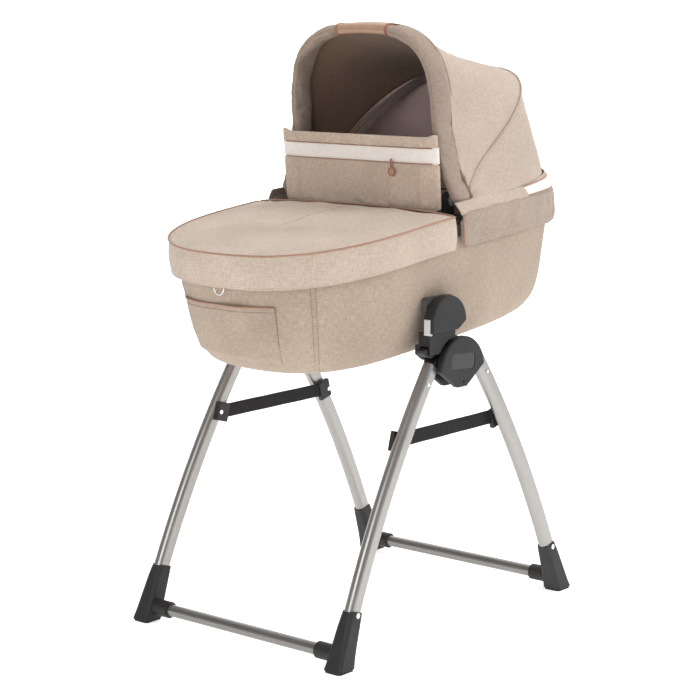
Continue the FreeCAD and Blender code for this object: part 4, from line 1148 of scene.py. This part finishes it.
def swept_arch(start, end, half_x, half_out, seed, noise, count=150, sides=40):
    """A padded roll round the front bow, between two shares of its line."""
    path = sleeve_path()
    keep = np.linspace(start, end, count) * (BOW_STEPS - 1)
    path = np.stack([np.interp(keep, np.arange(BOW_STEPS), path[:, k]) for k in range(3)], -1)
    tangent = tangents(path)
    side = np.tile([1.0, 0.0, 0.0], (count, 1))
    rise = np.cross(tangent, side)
    turn = np.linspace(0, 2 * math.pi, sides, endpoint=False)
    section = np.stack([
        np.sign(np.cos(turn)) * np.abs(np.cos(turn)) ** 0.62 * half_x,
        np.sign(np.sin(turn)) * np.abs(np.sin(turn)) ** 0.72 * half_out,
    ], -1)
    section = np.repeat(section[None], count, axis=0)
    close = np.sqrt(np.clip(1 - np.linspace(1, -1, count) ** 40, 0.35, 1))
    section = section * close[:, None, None]
    points = sweep_points(path, side, rise, section)
    wrinkle = ripple(points * [0.3, 1, 1], 0.035, seed) * noise
    away = points - path[:, None]
    away /= np.maximum(np.linalg.norm(away, axis=-1, keepdims=True), 1e-6)
    points = points + away * wrinkle[..., None]
    return points, path, rise


def make_sleeves():
    """The padded sleeves on the front bow, piped along their rear edge."""
    total = lengths(sleeve_path())[-1]
    grip_share = (GRIP_HALF + 0.0005) / total
    spans = {"left": (0.0, 0.5 - grip_share), "right": (0.5 + grip_share, 1.0)}
    for index, (side, (start, end)) in enumerate(spans.items()):
        points, path, rise = swept_arch(start, end, SLEEVE_HALF - 0.0008, 0.0098, 91 + index, 0.0010)
        roll = grid("bow_sleeve_cloth_" + side, placed(points), wrap=True, caps=True)
        loose = np.ones(points.shape[:2], bool)
        loose[:4] = False
        loose[-4:] = False
        loose[:, :2] = False
        loose[:, -2:] = False
        loose[:, 19:22] = False
        puff(roll, ~loose.ravel(), pressure=3.0, cap=0.0035, grow=0.015)
        dress(roll, "sleeve_cloth", body="hood_front")
        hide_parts("bow_sleeve_" + side)
        seam = path + rise * 0.0072 + np.array([SLEEVE_HALF - 0.0022, 0, 0])
        piping("sleeve_piping_" + side, seam[3:-2], 0.0013, "copper_piping", "hood_front", 8)
        front = path + rise * 0.0004 - np.array([SLEEVE_HALF - 0.0002, 0, 0])
        stitch_row("sleeve_stitches_" + side, front[4:-4], "brown_thread", "hood_front", 0.005, 0.0033)
    make_grip(grip_share)


def make_grip(share):
    points, path, rise = swept_arch(0.5 - share, 0.5 + share, 0.0150, 0.0094, 95, 0.0003, 70)
    wrap = grid("grip_leather", placed(points), wrap=True, caps=True)
    dress(wrap, "leatherette", body="hood_front")
    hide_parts("grip")
    for end, side in ((2, "left"), (-3, "right")):
        ring = points[end]
        centre = path[end]
        loop = centre + (ring - centre) * 1.05
        loop = np.concatenate([loop, loop[:1]])
        cuff = tube("grip_cuff_" + side, placed(loop), 0.0017, 8, taper=False)
        dress(cuff, "copper_leather", body="hood_front")
    seam = path - np.array([0.0153, 0, 0])
    stitch_row("grip_stitches", seam[4:-4], "brown_thread", "hood_front", 0.0044, radius=0.0004)


# ---- straps of the stand -----------------------------------------------------------
def make_straps():
    """Each crossing strap as two halves that fold up with their own frame."""
    for side in ("left", "right"):
        low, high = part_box("strap_" + side)
        middle_y = (low.y + high.y) / 2
        middle_z = (low.z + high.z) / 2
        half_y = max((high.y - low.y) / 2, 0.0012)
        half_z = (high.z - low.z) / 2
        turn = np.linspace(0, 2 * math.pi, 24, endpoint=False)
        section = np.stack([np.sign(np.cos(turn)) * np.abs(np.cos(turn)) ** 0.5 * half_y,
                            np.sign(np.sin(turn)) * np.abs(np.sin(turn)) ** 0.2 * half_z], -1)
        for end, frame_name, tip in (("foot", "foot_end_frame", low.x), ("head", "head_end_frame", high.x)):
            x = np.linspace(tip, HUB_X, 50)
            slack = 0.0004 * np.sin((x - HUB_X) * 2 * math.pi / 0.09)
            path = np.stack([x, middle_y + slack, np.full_like(x, middle_z)], -1)
            side_axis = np.tile([0.0, 1.0, 0.0], (len(x), 1))
            points = sweep_points(path, side_axis, np.tile([0.0, 0.0, 1.0], (len(x), 1)), section)
            # rows run round the strap, so that u is its length
            band = grid(f"strap_{side}_{end}_web", points.transpose(1, 0, 2)[::-1] if end == "foot"
                        else points.transpose(1, 0, 2))
            close_band(band, 24, 50)
            dress(band, "black_webbing", body=frame_name)
            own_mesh(band)
            if end == "foot":
                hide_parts("strap_" + side)


def close_band(piece, sides, length):
    """Join a band's last row to its first, and close its two ends."""
    mesh = bmesh.new()
    mesh.from_mesh(piece.data)
    mesh.verts.ensure_lookup_table()
    for k in range(length - 1):
        a = mesh.verts[(sides - 1) * length + k]
        b = mesh.verts[(sides - 1) * length + k + 1]
        mesh.faces.new((a, b, mesh.verts[k + 1], mesh.verts[k]))
    for k in (0, length - 1):
        mesh.faces.new([mesh.verts[r * length + k] for r in range(sides)])
    bmesh.ops.recalc_face_normals(mesh, faces=mesh.faces)
    for face in mesh.faces:
        face.smooth = True
    mesh.to_mesh(piece.data)
    mesh.free()


# ---- studio -------------------------------------------------------------------------
AZIMUTH = math.radians(-50.07)
ELEVATION = math.radians(9.61)
BACK = Vector((math.sin(AZIMUTH) * math.cos(ELEVATION), -math.cos(AZIMUTH) * math.cos(ELEVATION),
               math.sin(ELEVATION)))
RIGHT = Vector((math.cos(AZIMUTH), math.sin(AZIMUTH), 0))


FLOOR = 9                       # half the floor's width


def make_camera():
    data = bpy.data.cameras.new("camera")
    data.lens = 104.02
    data.sensor_width = 36
    data.clip_end = 50
    camera = bpy.data.objects.new("camera", data)
    bpy.context.scene.collection.objects.link(camera)
    aim = RIGHT * -0.012 + Vector((0, 0, 0.406)) + BACK * 3.13
    camera.location = aim * 1.15 + Vector((HUB_X, 0, 0))
    camera.rotation_euler = BACK.to_track_quat("Z", "Y").to_euler()
    bpy.context.scene.camera = camera


def make_lamp(name, place, size, power, target=(0, 0, 0.55)):
    data = bpy.data.lights.new(name, "AREA")
    data.shape = "SQUARE"
    data.size = size
    data.energy = power
    lamp = bpy.data.objects.new(name, data)
    lamp.location = place
    lamp.rotation_euler = (Vector(place) - Vector(target)).to_track_quat("Z", "Y").to_euler()
    bpy.context.scene.collection.objects.link(lamp)


def flat_quad(name, corners, glow, colour_paint):
    quad = mesh_piece(name, corners, [[0, 1, 2, 3]])
    quad.data.materials.append(colour_paint)
    shader = colour_paint.node_tree.nodes["Principled BSDF"]
    shader.inputs["Emission Color"].default_value = (1, 1, 1, 1)
    shader.inputs["Emission Strength"].default_value = glow
    return quad


def make_studio():
    corners = [(-FLOOR, -FLOOR, 0), (FLOOR, -FLOOR, 0), (FLOOR, FLOOR, 0), (-FLOOR, FLOOR, 0)]
    floor = flat_quad("studio_floor", corners, 0.62, paint("floor_paper"))
    away = Vector((-BACK.x, -BACK.y, 0)).normalized() * 5.5
    across = RIGHT * 8
    high = Vector((0, 0, 9))
    corners = [away - across, away + across, away + across + high, away - across + high]
    wall = flat_quad("studio_backdrop", corners, 0.9, paint("backdrop_paper"))
    world = bpy.data.worlds.new("studio")
    world.use_nodes = True
    world.node_tree.nodes["Background"].inputs["Color"].default_value = (1, 1, 1, 1)
    world.node_tree.nodes["Background"].inputs["Strength"].default_value = 0.30
    bpy.context.scene.world = world
    make_lamp("key", (1.6, -2.9, 2.2), 1.4, 48)
    make_lamp("top", (0.3, -0.2, 3.2), 2.0, 46)
    make_lamp("fill", (-3.0, -1.0, 1.5), 1.6, 30)
    bpy.context.scene.view_settings.view_transform = "Standard"


# ---- the whole object -----------------------------------------------------------------
dress_cad()
make_tub()
make_tub_seams()
make_pocket()
make_foot_ring()
make_liner()
make_mattress()
make_foot_cover()
make_head_band()
make_flap()
make_charm()
make_hood_front()
make_hood_back()
make_hood_seams()
make_sleeves()
make_straps()
make_camera()
make_studio()
